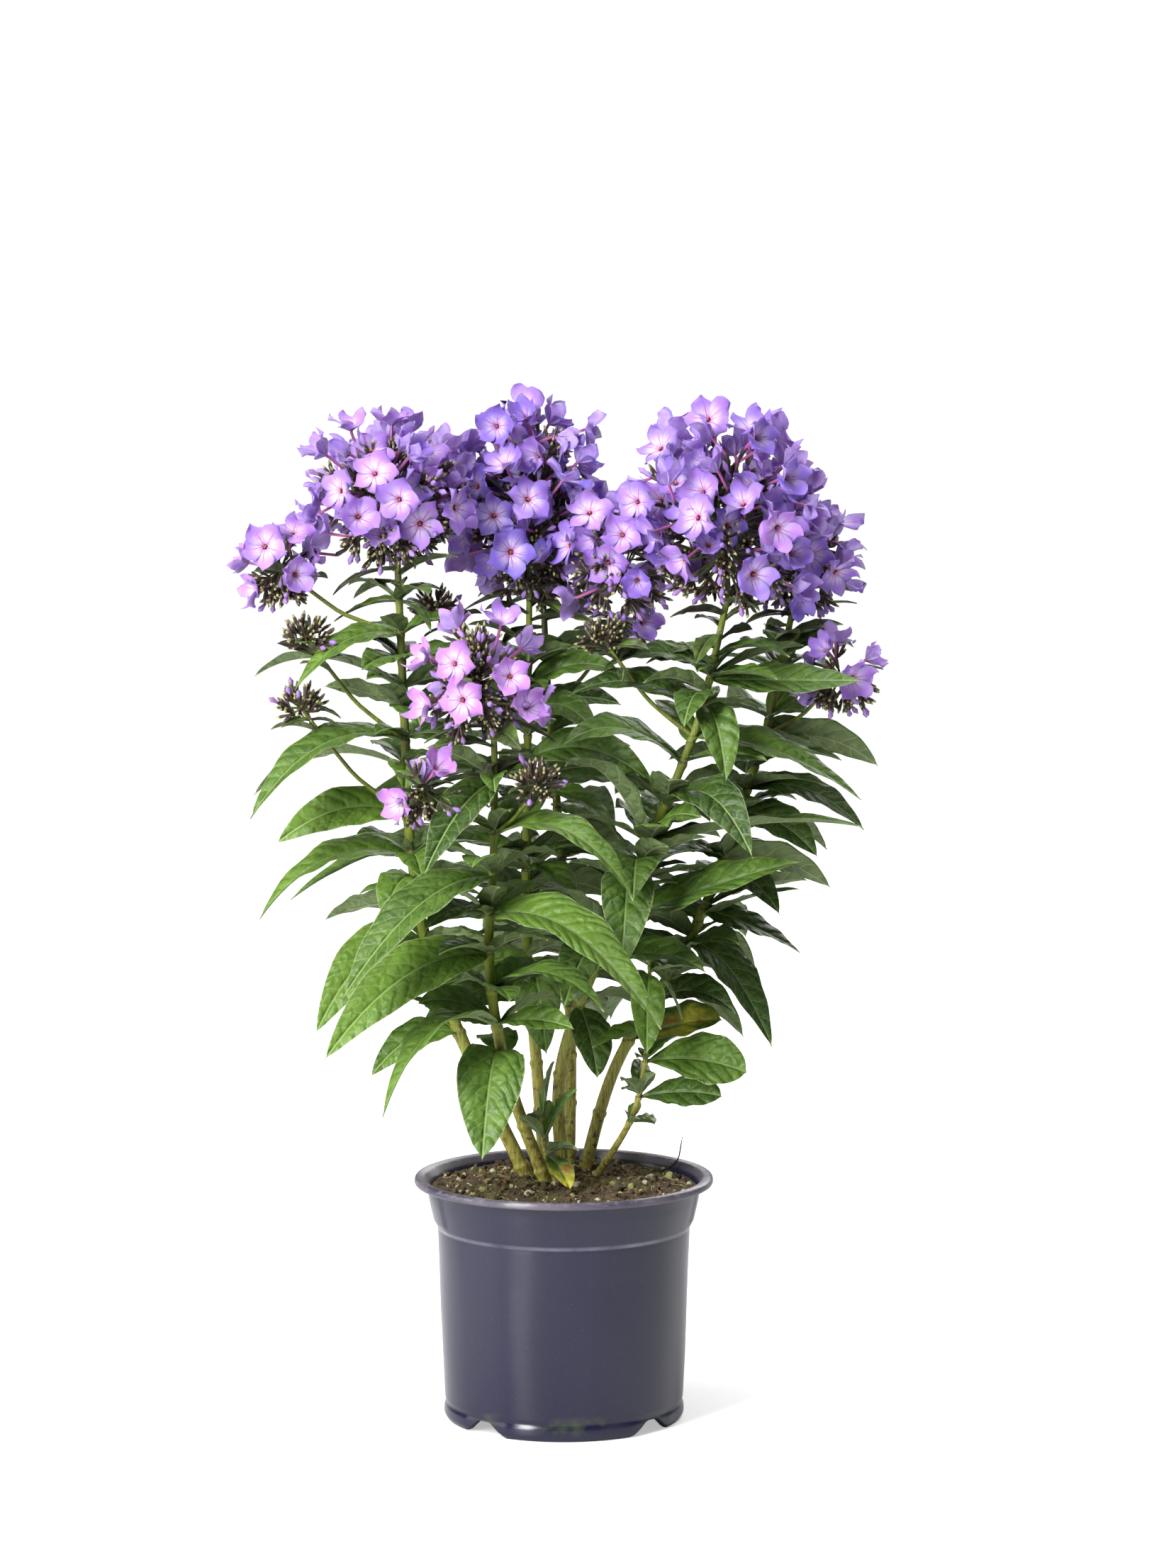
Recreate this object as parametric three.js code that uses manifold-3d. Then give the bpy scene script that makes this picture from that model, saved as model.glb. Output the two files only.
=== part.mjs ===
// A garden phlox in flower, with the nursery pot that it grows in.
// Millimetres, +Z up: the pot's axis is the Z axis and its feet stand on z = 0. The front is -Y.
import * as THREE from "three";
import { mergeVertices } from "three/addons/utils/BufferGeometryUtils.js";
import Module from "manifold-3d";

// ---- driving dimensions ----
const POT_HEIGHT = 155;
const RIM_RADIUS = 95;
const RIM_DEPTH = 5;
const MOUTH_RADIUS = 88.2;
const COLLAR_TOP_RADIUS = 86.3;
const COLLAR_FOOT_RADIUS = 81.6;
const STEP_HEIGHT = 124;
const BODY_TOP_RADIUS = 80;
const BODY_FOOT_RADIUS = 75.8;
const FOOT_HEIGHT = 11;
const FOOT_INNER = 70.5; // the ring that the pot stands on
const FOOT_OUTER = 74.4;
const FOOT_BULGE = 76.4;
const WALL = 1.6;
const POT_SIDES = 30;
const NOTCHES = 4; // between the feet
const NOTCH_START = 48; // degrees
const NOTCH_FOOT = 17; // half the notch's width at the ground
const NOTCH_HEAD = 5;
const DRAIN_HOLES = 6;
const DRAIN_RADIUS = 4.5;
const DRAIN_CIRCLE = 52;
const SOIL_EDGE = 148;
const SOIL_CROWN = 152;
const GAP = 0.3; // between pieces that touch
const ROOT_DEPTH = 126; // the height at which a stem ends inside the soil
const ROOT_TOP = 172; // the height up to which it is straight
const STEM_SIDES = 5;
const STEM_TAPER = 0.55; // the share of its base radius that a stem has lost at the top
const KNOT_BASE = 145; // the height of each stem's first knot
const LEAF_THICKNESS = 1.3; // at the midrib; a blade thins to its edge
const LEAF_FOLD = 0.2; // how far a blade's edges rise, as a share of its half width
const LEAF_TILT = 30; // degrees that a blade leans towards the side it points to
const LEAF_SWAY = 24; // degrees over which that lean varies
const LEAF_TURN = 7; // degrees by which a blade is turned about its node to come clear of others
const MOST_TURNS = 15;
const LONG_LEAF = 84; // a blade that reaches further has one more crease
const SPRAY_RADII = [1.5, 1.3, 1.2];
const SPRAY_SAG = 0.12; // how far a side spray's stalk hangs at its middle, as a share of its length
const FLORET_RADIUS = 13.5;
const NOTCH_SHARE = 0.66; // how far out two petals part, as a share of the floret's radius
const PETAL_DROP = 1.5; // how far the petals' ends bend back
const NECK_RADIUS = 2;
const NECK_DEPTH = 4;
const THROAT_DEPTH = 1.2;
const NOTCH_RISE = 0.4;
const FLORET_RANGE = 0.16; // how far florets' depth in the dome, and their radius, vary
const DEPTH_STEP = 0.07; // and by how much one is moved to come clear of the others
const MOST_SHIFTS = 7;
const MERGED = 0.95; // inside this share of a neighbouring dome no floret grows
const CORE_SHARE = 0.46; // a flower head's solid core, as a share of the head
const TUFT_SHARE = 0.24; // the same for a side spray's
const CLEARANCE = 3.4; // kept between sampled points of different pieces
const OWN_CLEARANCE = 2.4; // kept between blades or petals of the same piece
const GOLDEN_ANGLE = Math.PI * (3 - Math.sqrt(5));

// Stems: knots [x, y] stand every `rise` mm of height from KNOT_BASE; `top` is where the flower head sits.
const STEMS = {
  front: {
    rise: 75, top: 446, base: 4.2,
    knots: [[-10, 1], [-35, -17], [-46, -45], [-43, -55], [-43, -55], [-50, -57]],
  },
  left: {
    rise: 75, top: 552, base: 4.6,
    knots: [[-21, 15], [-56, 11], [-85, 6], [-97, 2], [-100, 0], [-103, 1]],
  },
  right: {
    rise: 75, top: 524, base: 4.4,
    knots: [[-1, 19], [-2, 12], [22, -1], [54, -13], [84, -15], [102, -8]],
  },
  shoot: { rise: 50, top: 296, base: 2.4, knots: [[17, 17], [44, -4], [53, -10], [54, -11]] },
  sprig: { rise: 30, top: 202, base: 2.2, knots: [[-2, -8], [-12, -16], [-14, -18]] },
  far_right: {
    rise: 75, top: 520, base: 4.2,
    knots: [[11, 33], [34, 38], [79, 49], [109, 55], [132, 52], [147, 42]],
  },
  back: {
    rise: 75, top: 520, base: 4.2,
    knots: [[-12, 44], [-18, 50], [-24, 54], [-24, 55], [-23, 52], [-22, 50]],
  },
  rear: {
    rise: 75, top: 528, base: 4,
    knots: [[3, 58], [4, 78], [2, 92], [-4, 98], [-10, 100], [-14, 100]],
  },
};

// Leaves, in opposite pairs up each stem:
// [node height, azimuth, reach, lift of the tip, arch, half width, outline] in mm and degrees.
const LEAVES = {
  front: [
    [236, 260, 70, -55, 0.55, 25, 1], [236, 100, 40, 5, 0.3, 13, 0],
    [255, 230, 115, -40, 0.45, 17, 0], [255, 30, 45, 15, 0.25, 13, 0],
    [279, 320, 90, -5, 0.4, 17, 0], [279, 150, 45, 15, 0.2, 13, 0],
    [303, 215, 120, -55, 0.3, 19, 0], [303, 30, 50, 10, 0.3, 14, 0],
    [328, 320, 135, -60, 0.35, 21, 0], [328, 140, 50, 10, 0.3, 14, 0],
    [353, 225, 120, -65, 0.3, 19, 0], [353, 40, 50, 10, 0.3, 14, 0],
    [379, 325, 105, -30, 0.4, 17, 0], [379, 150, 60, 10, 0.3, 14, 0],
    [412, 235, 70, -50, 0.25, 14, 0], [412, 60, 40, 10, 0.3, 12, 0],
  ],
  left: [
    [245, 200, 60, -25, 0.35, 13, 0], [272, 110, 75, -15, 0.3, 15, 0],
    [272, 275, 40, -10, 0.3, 12, 0], [302, 215, 85, -50, 0.45, 18, 0],
    [302, 10, 40, 0, 0.3, 14, 0], [330, 155, 65, -15, 0.1, 14, 0],
    [330, 90, 75, -10, 0.3, 15, 0], [345, 250, 55, -20, 0.3, 14, 0],
    [358, 185, 100, -35, 0.35, 18, 0], [358, 280, 45, -10, 0.3, 13, 0],
    [385, 200, 85, -15, 0.3, 15, 0], [385, 30, 60, 0, 0.3, 14, 0],
    [415, 155, 110, -20, 0.3, 15, 0], [415, 275, 50, -10, 0.3, 14, 0],
    [432, 215, 120, -40, 0.35, 17, 0], [432, 50, 60, 0, 0.3, 14, 0],
    [450, 285, 45, -5, 0.3, 13, 0], [465, 160, 105, 10, 0.25, 15, 0],
    [465, 10, 50, 0, 0.3, 13, 0], [482, 100, 60, 0, 0.3, 13, 0],
    [499, 215, 80, -30, 0.3, 13, 0], [499, 340, 50, 5, 0.3, 12, 0],
    [520, 300, 45, 5, 0.3, 11, 0], [520, 150, 40, 10, 0.3, 9, 0],
  ],
  right: [
    [262, 290, 35, -40, 0.3, 17, 1], [262, 40, 50, -5, 0.3, 14, 0],
    [285, 335, 80, 5, 0.3, 18, 0], [285, 170, 45, 0, 0.3, 14, 0],
    [298, 255, 70, -25, 0.4, 16, 0], [306, 225, 55, 35, 0.4, 15, 0],
    [315, 345, 120, 45, 0.05, 21, 0], [325, 60, 60, -5, 0.3, 14, 0],
    [340, 270, 80, -40, 0.6, 20, 1], [340, 95, 60, 0, 0.3, 15, 0],
    [355, 265, 60, -15, 0.4, 15, 0], [367, 0, 135, 15, 0.1, 15, 0],
    [367, 220, 65, 55, 0.45, 17, 0], [380, 60, 65, -5, 0.3, 14, 0],
    [393, 310, 85, -25, 0.5, 17, 0], [393, 140, 40, 5, 0.4, 14, 0],
    [419, 200, 80, 15, 0.4, 17, 0], [432, 75, 60, 0, 0.3, 13, 0],
    [436, 355, 105, -40, 0.2, 19, 0], [453, 290, 50, -40, 0.5, 15, 1],
    [453, 185, 85, 10, 0.3, 15, 0], [462, 250, 50, -15, 0.35, 13, 0],
    [472, 355, 95, 0, 0, 18, 0], [478, 185, 70, 0, 0.3, 14, 0],
    [486, 335, 50, 0, 0.3, 11, 0],
  ],
  shoot: [
    [190, 340, 17, 0, 0.1, 12, 2], [206, 340, 55, 5, 0.1, 14, 2],
    [229, 355, 65, -5, 0.15, 19, 2], [251, 205, 40, -10, 0.1, 11, 0],
    [285, 265, 35, -45, 0.35, 13, 1], [290, 335, 24, -35, 0.3, 11, 0],
  ],
  sprig: [
    [170, 290, 50, -15, 0.25, 11, 2], [172, 315, 45, -10, 0.2, 9, 2],
    [180, 335, 22, 35, 0.15, 8, 0], [195, 50, 10, 35, 0.2, 8, 0],
    [195, 175, 14, 0, 0.2, 7, 0],
  ],
  far_right: [
    [235, 350, 60, 15, 0.1, 17, 2], [258, 325, 65, 0, 0.35, 14, 0],
    [258, 110, 75, -20, 0.35, 15, 0], [272, 5, 50, -35, 0.3, 13, 0],
    [290, 185, 50, -5, 0.3, 14, 0], [298, 330, 60, -65, 0.35, 17, 0],
    [298, 20, 55, -30, 0.3, 14, 0], [310, 60, 70, -20, 0.35, 15, 0],
    [318, 340, 65, -25, 0.1, 13, 0], [318, 130, 80, -25, 0.35, 15, 0],
    [335, 310, 65, -15, 0.4, 14, 0], [335, 80, 85, -20, 0.35, 17, 0],
    [350, 5, 70, -20, 0.25, 15, 0], [350, 195, 45, 0, 0.3, 14, 0],
    [365, 30, 75, -15, 0.35, 16, 0], [380, 340, 55, -25, 0.25, 15, 0],
    [380, 110, 90, -10, 0.35, 17, 0], [395, 345, 75, -25, 0.35, 15, 0],
    [395, 170, 45, 0, 0.3, 13, 0], [410, 60, 85, 0, 0.3, 17, 0],
    [410, 255, 40, 0, 0.3, 13, 0], [425, 10, 75, -15, 0.3, 15, 0],
    [425, 190, 40, 0, 0.3, 12, 0], [440, 10, 55, -25, 0, 14, 0],
    [440, 110, 80, 0, 0.3, 15, 0], [458, 300, 50, -10, 0.35, 13, 0],
    [470, 55, 55, 0, 0.3, 13, 0], [484, 355, 45, 5, 0.3, 11, 0],
  ],
  back: [
    [262, 190, 75, -20, 0.35, 17, 0], [262, 60, 45, -5, 0.3, 13, 0],
    [285, 295, 45, -55, 0.4, 20, 1], [300, 110, 75, -30, 0.4, 18, 0],
    [315, 325, 80, -30, 0.4, 16, 0], [328, 185, 90, -25, 0.35, 18, 0],
    [328, 10, 60, -5, 0.3, 15, 0], [342, 300, 60, -20, 0.4, 15, 0],
    [355, 195, 155, -25, 0.25, 19, 0], [355, 20, 75, -10, 0.3, 17, 0],
    [377, 95, 85, -20, 0.35, 18, 0], [377, 280, 40, 0, 0.3, 13, 0],
    [388, 320, 75, -20, 0.4, 15, 0], [400, 200, 125, -20, 0.3, 18, 0],
    [400, 10, 80, -5, 0.3, 17, 0], [415, 340, 85, -15, 0.35, 15, 0],
    [430, 105, 80, -5, 0.35, 17, 0], [430, 285, 45, 10, 0.3, 13, 0],
    [445, 315, 65, -10, 0.35, 14, 0], [462, 190, 80, 10, 0.3, 14, 0],
    [462, 350, 60, 10, 0.3, 14, 0], [475, 35, 60, 5, 0.3, 13, 0],
    [475, 245, 55, 0, 0.3, 12, 0],
  ],
  rear: [
    [250, 60, 50, -20, 0.35, 17, 0], [265, 0, 60, -20, 0.35, 14, 0],
    [282, 150, 65, -25, 0.35, 18, 0], [282, 350, 60, -10, 0.3, 15, 0],
    [314, 70, 45, -25, 0.35, 18, 0], [314, 230, 35, 0, 0.3, 13, 0],
    [330, 320, 55, -10, 0.35, 14, 0], [346, 140, 60, -20, 0.35, 18, 0],
    [346, 10, 70, -10, 0.3, 15, 0], [378, 50, 55, -20, 0.35, 18, 0],
    [394, 350, 65, -10, 0.3, 14, 0], [410, 120, 45, -15, 0.35, 17, 0],
    [410, 330, 50, 0, 0.3, 13, 0], [426, 95, 40, -5, 0.3, 13, 0],
    [442, 65, 45, -5, 0.3, 15, 0], [442, 170, 50, 5, 0.3, 13, 0],
    [472, 110, 40, 5, 0.3, 13, 0], [472, 350, 50, 5, 0.3, 12, 0],
  ],
};
const OUTLINES = [[0.85, 1.25], [0.75, 0.85], [1.15, 0.55]]; // lance, broad and spoon-shaped blades

// Side sprays: from a leaf node of a stem out to a tuft of buds or flowers round `tip`.
const SPRAYS = [
  { stem: "left", node: 499, tip: [-176, -8, 541], radii: [20, 20, 25], florets: 8, seed: 12 },
  { stem: "left", node: 432, tip: [-160, -16, 497], radii: [23, 20, 17], florets: 0, seed: 13 },
  { stem: "left", node: 385, tip: [-163, -28, 455], radii: [23, 18, 16], florets: 0, seed: 14 },
  { stem: "front", node: 379, tip: [-16, -78, 412], radii: [20, 20, 18], florets: 0, seed: 61 },
  { stem: "front", node: 385, tip: [-86, -78, 410], radii: [20, 20, 20], florets: 3, seed: 62 },
  { stem: "right", node: 436, tip: [25, -22, 497], radii: [22, 20, 17], florets: 0, seed: 42 },
  { stem: "far_right", node: 430, tip: [174, 14, 472], radii: [22, 20, 24], florets: 7, seed: 52 },
  { stem: "back", node: 462, tip: [-82, 22, 512], radii: [20, 18, 16], florets: 0, seed: 22 },
  { stem: "rear", node: 442, tip: [36, 102, 500], radii: [22, 20, 20], florets: 4, seed: 32 },
];

// Flower heads: each is one or two domes of florets round a core on the stem's top.
const HEADS = {
  front: [{ centre: [-53, -62, 474], radii: [38, 34, 35], florets: 14, detail: 0, seed: 60 }],
  left: [{ centre: [-107, 2, 582], radii: [48, 48, 48], florets: 37, detail: 1, seed: 11 }],
  right: [
    { centre: [101, -6, 567], radii: [55, 53, 62], florets: 45, detail: 1, seed: 41 },
    { centre: [36, 12, 545], radii: [36, 34, 38], florets: 16, detail: 0, seed: 43 },
  ],
  far_right: [{ centre: [148, 40, 545], radii: [36, 36, 40], florets: 21, detail: 0, seed: 51 }],
  back: [{ centre: [-21, 50, 572], radii: [43, 43, 66], florets: 43, detail: 1, seed: 21 }],
  rear: [{ centre: [-16, 100, 560], radii: [36, 30, 42], florets: 21, detail: 0, seed: 31 }],
};
const LOWEST_FLORET = -0.6; // the cosine at which a dome's florets stop and the buds below them begin
const LOWEST_BUD = -0.97;

const POT_COLOUR = 0x4c4b5c;
const SOIL_COLOUR = 0x4a3826;
const LEAF_COLOUR = 0x4f7a3a;
const FLORET_COLOUR = 0xa494d8;

const wasm = await Module();
wasm.setup();

const vector = (x, y, z) => new THREE.Vector3(x, y, z);
const radians = THREE.MathUtils.degToRad;

// The n-th draw of a fixed sequence, from 0 to 1.
function chance(n) {
  const wave = Math.sin(n * 12.9898 + 4.137) * 43758.5453;
  return wave - Math.floor(wave);
}

function closedGeometry(points, triangles) {
  const geometry = new THREE.BufferGeometry();
  const numbers = points.flatMap((p) => [p.x, p.y, p.z]);
  geometry.setAttribute("position", new THREE.Float32BufferAttribute(numbers, 3));
  geometry.setIndex(triangles.flat());
  return geometry;
}

function bareCopy(geometry) {
  const bare = geometry.clone();
  for (const name of Object.keys(bare.attributes)) {
    if (name !== "position") bare.deleteAttribute(name);
  }
  return bare;
}

function toSolid(geometry) {
  const merged = mergeVertices(bareCopy(geometry), 1e-3);
  return new wasm.Manifold(
    new wasm.Mesh({
      numProp: 3,
      vertProperties: Float32Array.from(merged.attributes.position.array),
      triVerts: Uint32Array.from(merged.index.array),
    }),
  );
}

function toGeometry(solid) {
  const mesh = solid.getMesh();
  const geometry = new THREE.BufferGeometry();
  geometry.setAttribute("position", new THREE.BufferAttribute(Float32Array.from(mesh.vertProperties), 3));
  geometry.setIndex(new THREE.BufferAttribute(Uint32Array.from(mesh.triVerts), 1));
  const flat = geometry.toNonIndexed();
  flat.computeVertexNormals();
  return flat;
}

const fuse = (geometries) => geometries.map(toSolid).reduce((sum, solid) => sum.add(solid));

// A round bar along `points`, with a radius for each, closed by a flat fan at both ends.
function bar(points, radii, sides) {
  const ring = [];
  let across = vector(1, 0, 0);
  points.forEach((point, i) => {
    const before = points[Math.max(i - 1, 0)];
    const after = points[Math.min(i + 1, points.length - 1)];
    const ahead = after.clone().sub(before).normalize();
    across = across.clone().addScaledVector(ahead, -across.dot(ahead)).normalize();
    const up = ahead.clone().cross(across);
    for (let k = 0; k < sides; k += 1) {
      const angle = (2 * Math.PI * k) / sides;
      ring.push(
        point.clone()
          .addScaledVector(across, radii[i] * Math.cos(angle))
          .addScaledVector(up, radii[i] * Math.sin(angle)),
      );
    }
  });
  const triangles = [];
  const last = (points.length - 1) * sides;
  for (let k = 0; k < sides; k += 1) {
    const next = (k + 1) % sides;
    for (let row = 0; row < last; row += sides) {
      const above = row + sides;
      triangles.push([row + k, row + next, above + next], [row + k, above + next, above + k]);
    }
    if (k > 0 && k < sides - 1) triangles.push([0, next, k], [last, last + k, last + next]);
  }
  return closedGeometry(ring, triangles);
}

// ---- what is already placed, as sampled points with their owner ----
const placed = [];

function sphereRound(points) {
  const centre = points.reduce((sum, p) => sum.add(p), vector(0, 0, 0)).divideScalar(points.length);
  return { centre, radius: Math.max(...points.map((p) => p.distanceTo(centre))) };
}

// `blades` are the points that also keep clear of the blades of the same owner, which share its roots.
function place(owner, points, reach, blades = []) {
  placed.push({ owner, points, reach, blades, ...sphereRound(points) });
}

function isClear(owner, points, blades = []) {
  const { centre, radius } = sphereRound(points);
  return placed.every((other) => {
    if (centre.distanceTo(other.centre) > radius + other.radius + other.reach) return true;
    const own = other.owner === owner;
    const limit = own ? OWN_CLEARANCE * OWN_CLEARANCE : other.reach * other.reach;
    const theirs = own ? other.blades : other.points;
    return (own ? blades : points).every((p) => theirs.every((q) => p.distanceToSquared(q) > limit));
  });
}

// ---- stems ----
// A smooth curve through the stem's knots, found by height.
function stemPoint(stem, z) {
  const knots = stem.knots.map(([x, y], i) => vector(x, y, KNOT_BASE + stem.rise * i));
  const u = (z - KNOT_BASE) / stem.rise;
  const i = Math.min(Math.max(Math.floor(u), 0), knots.length - 2);
  const t = u - i;
  const a = knots[i];
  const b = knots[i + 1];
  const before = i > 0 ? knots[i - 1] : a.clone().multiplyScalar(2).sub(b);
  const after = i + 2 < knots.length ? knots[i + 2] : b.clone().multiplyScalar(2).sub(a);
  return vector(0, 0, 0)
    .addScaledVector(before, (-t + 2 * t * t - t * t * t) / 2)
    .addScaledVector(a, (2 - 5 * t * t + 3 * t * t * t) / 2)
    .addScaledVector(b, (t + 4 * t * t - 3 * t * t * t) / 2)
    .addScaledVector(after, (-t * t + t * t * t) / 2);
}

function stemRadius(stem, z) {
  const share = Math.max(0, (z - KNOT_BASE) / (stem.top - KNOT_BASE));
  return stem.base * (1 - STEM_TAPER * share);
}

function stemBar(stem, heights, extra) {
  const points = heights.map((z) => stemPoint(stem, z));
  return bar(points, heights.map((z) => stemRadius(stem, z) + extra), STEM_SIDES);
}

// A straight root through the soil, then even steps up to the flower head.
function stemHeights(stem) {
  const steps = Math.ceil((2 * (stem.top - ROOT_TOP)) / stem.rise);
  const rise = (stem.top - ROOT_TOP) / steps;
  return [ROOT_DEPTH, ...Array.from({ length: steps + 1 }, (_, i) => ROOT_TOP + rise * i)];
}

// ---- leaves ----
// The midrib is a quadratic curve that rises from the node by the arch and drops to the tip.
function leafFrame(leaf, s) {
  const azimuth = radians(leaf.azimuth);
  const out = vector(Math.cos(azimuth), Math.sin(azimuth), 0);
  const tip = leaf.base.clone().addScaledVector(out, leaf.reach).add(vector(0, 0, leaf.lift));
  const span = tip.distanceTo(leaf.base);
  const bend = leaf.base.clone().add(tip).multiplyScalar(0.5).add(vector(0, 0, leaf.arch * span));
  const point = leaf.base.clone().multiplyScalar((1 - s) * (1 - s))
    .addScaledVector(bend, 2 * s * (1 - s))
    .addScaledVector(tip, s * s);
  const ahead = bend.clone().sub(leaf.base).multiplyScalar(1 - s)
    .addScaledVector(tip.clone().sub(bend), s)
    .normalize();
  const level = vector(-Math.sin(azimuth), Math.cos(azimuth), 0);
  const above = ahead.clone().cross(level);
  const roll = radians(leaf.roll);
  const side = level.clone().multiplyScalar(Math.cos(roll)).addScaledVector(above, Math.sin(roll));
  const up = above.multiplyScalar(Math.cos(roll)).addScaledVector(level, -Math.sin(roll));
  const [a, b] = OUTLINES[leaf.outline];
  const widest = a / (a + b);
  const fullness = (s ** a * (1 - s) ** b) / (widest ** a * (1 - widest) ** b);
  return { point, side, up, half: Math.max(leaf.half * fullness, 1.5 * (1 - s)) };
}

const LEAF_ROOT_SAMPLES = 25; // the first samples, which lie near the stem

function leafSamples(leaf) {
  const points = [];
  for (let i = 1; i <= 26; i += 1) {
    const { point, side, up, half } = leafFrame(leaf, i / 26);
    for (const across of [-1, -0.5, 0, 0.5, 1]) {
      points.push(
        point.clone()
          .addScaledVector(side, across * half)
          .addScaledVector(up, Math.abs(across) * half * LEAF_FOLD),
      );
    }
  }
  return points;
}

// A blade: an upper and a lower skin that share a sharp edge, the lower one dropped along the midrib.
function blade(leaf) {
  const stations = leaf.reach > LONG_LEAF ? [0.18, 0.46, 0.76] : [0.28, 0.66];
  const points = [];
  for (const s of stations) {
    const { point, side, up, half } = leafFrame(leaf, s);
    const edge = point.clone().addScaledVector(up, half * LEAF_FOLD);
    points.push(
      edge.clone().addScaledVector(side, half),
      point,
      edge.clone().addScaledVector(side, -half),
      point.clone().addScaledVector(up, -LEAF_THICKNESS),
    );
  }
  const tip = points.push(leafFrame(leaf, 1).point) - 1;
  const root = points.push(leaf.base) - 1;
  const triangles = [[root, 1, 0], [root, 2, 1], [root, 0, 3], [root, 3, 2]];
  for (let i = 0; i < stations.length; i += 1) {
    const [left, rib, right, below] = [4 * i, 4 * i + 1, 4 * i + 2, 4 * i + 3];
    if (i === stations.length - 1) {
      triangles.push([left, rib, tip], [rib, right, tip], [left, tip, below], [below, tip, right]);
    } else {
      triangles.push(
        [left, rib, rib + 4], [left, rib + 4, left + 4], [rib, right, right + 4], [rib, right + 4, rib + 4],
        [left, below + 4, below], [left, left + 4, below + 4],
        [below, right + 4, right], [below, below + 4, right + 4],
      );
    }
  }
  return closedGeometry(points, triangles);
}

// The leaves of one stem. A leaf that would touch another stem's is turned about its node until clear.
function growLeaves(name, seed) {
  const grown = [];
  LEAVES[name].forEach(([z, azimuth, reach, lift, arch, half, outline], i) => {
    const leans = LEAF_TILT * Math.cos(radians(azimuth)) * (Math.sin(radians(azimuth)) < 0 ? 1 : -1);
    const leaf = {
      base: stemPoint(STEMS[name], z), azimuth, reach, lift, arch, half, outline,
      roll: leans + LEAF_SWAY * (chance(seed + i) - 0.5),
    };
    for (let turn = 0; turn < MOST_TURNS; turn += 1) {
      leaf.azimuth = azimuth + LEAF_TURN * Math.ceil(turn / 2) * (turn % 2 ? 1 : -1);
      const samples = leafSamples(leaf);
      const outer = samples.slice(LEAF_ROOT_SAMPLES);
      if (isClear(name, samples, outer)) {
        place(name, samples, CLEARANCE, outer);
        grown.push(leaf);
        return;
      }
    }
  });
  return grown;
}

// ---- florets and buds ----
// A floret: a star of five petals round a sunk throat, and below them a neck that runs back to the root.
function floret({ at, facing, radius, roll, root }) {
  const across = vector(-facing.y, facing.x, 0.001).cross(facing).normalize();
  const up = facing.clone().cross(across);
  const around = (degrees, distance, rise) =>
    at.clone()
      .addScaledVector(across, distance * Math.cos(radians(roll + degrees)))
      .addScaledVector(up, distance * Math.sin(radians(roll + degrees)))
      .addScaledVector(facing, rise);
  const rim = 10;
  const points = [];
  for (let k = 0; k < rim; k += 1) {
    const petal = k % 2 === 0;
    points.push(petal ? around(36 * k, radius, -PETAL_DROP) : around(36 * k, NOTCH_SHARE * radius, NOTCH_RISE));
  }
  const throat = points.push(around(0, 0, -THROAT_DEPTH)) - 1;
  for (const degrees of [54, 180, 306]) points.push(around(degrees, NECK_RADIUS, -NECK_DEPTH));
  const tail = points.push(root) - 1;
  const neckOf = (k) => throat + 1 + (Math.floor((k * 3) / rim) % 3);
  const triangles = [];
  for (let k = 0; k < rim; k += 1) {
    const next = (k + 1) % rim;
    triangles.push([throat, k, next], [next, k, neckOf(k)]);
    if (neckOf(k) !== neckOf(k + 1)) triangles.push([next, neckOf(k), neckOf(k + 1)]);
  }
  for (let j = 0; j < 3; j += 1) triangles.push([throat + 1 + ((j + 1) % 3), throat + 1 + j, tail]);
  return closedGeometry(points, triangles);
}

// The facets of a unit ball: an icosahedron's corners are the turns of (±1, ±golden ratio, 0), its facets
// join the corners that are 2 apart, and with `detail` each facet is cut in four.
function ballFacets(detail) {
  const golden = (1 + Math.sqrt(5)) / 2;
  const corners = [];
  for (const a of [-1, 1]) {
    for (const b of [-golden, golden]) corners.push(vector(a, b, 0), vector(0, a, b), vector(b, 0, a));
  }
  const near = (p, q) => p.distanceTo(q) < 2.1;
  let facets = [];
  corners.forEach((a, i) => corners.forEach((b, j) => corners.forEach((c, k) => {
    if (i >= j || j >= k || !near(a, b) || !near(b, c) || !near(c, a)) return;
    const outward = b.clone().sub(a).cross(c.clone().sub(a)).dot(a) > 0;
    facets.push(outward ? [a, b, c] : [a, c, b]);
  })));
  if (detail) {
    facets = facets.flatMap(([a, b, c]) => {
      const [ab, bc, ca] = [[a, b], [b, c], [c, a]].map(([p, q]) => p.clone().lerp(q, 0.5));
      return [[a, ab, ca], [b, bc, ab], [c, ca, bc], [ab, bc, ca]];
    });
  }
  return facets.map((facet) => facet.map((corner) => corner.clone().normalize()));
}

// A core of flat facets. Those that face down, below the florets, are each drawn out into a bud,
// a spike about as long as the dome's radius; a tuft without florets has them all round.
function core(owner, dome, share) {
  const highest = dome.florets > 0 ? LOWEST_FLORET : 1;
  const triangles = [];
  ballFacets(dome.detail).forEach((facet, k) => {
    const middle = facet[0].clone().add(facet[1]).add(facet[2]).normalize();
    const [a, b, c] = facet.map((corner) => onDome(dome, corner, share));
    if (middle.z > highest || middle.z < LOWEST_BUD) {
      triangles.push([a, b, c]);
      return;
    }
    const seat = onDome(dome, middle, share);
    const end = onDome(dome, middle, 0.85 + 0.3 * chance(dome.seed * 70 + k));
    triangles.push([a, b, end], [b, c, end], [c, a, end]);
    place(owner, Array.from({ length: 6 }, (_, n) => seat.clone().lerp(end, n / 5)), CLEARANCE);
  });
  const shell = Array.from({ length: 60 }, (_, i) => onDome(dome, domeDirection(i, 60, 1, -1, 0), share));
  place(owner, shell, CLEARANCE + 3);
  return new THREE.BufferGeometry().setFromPoints(triangles.flat());
}

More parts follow.
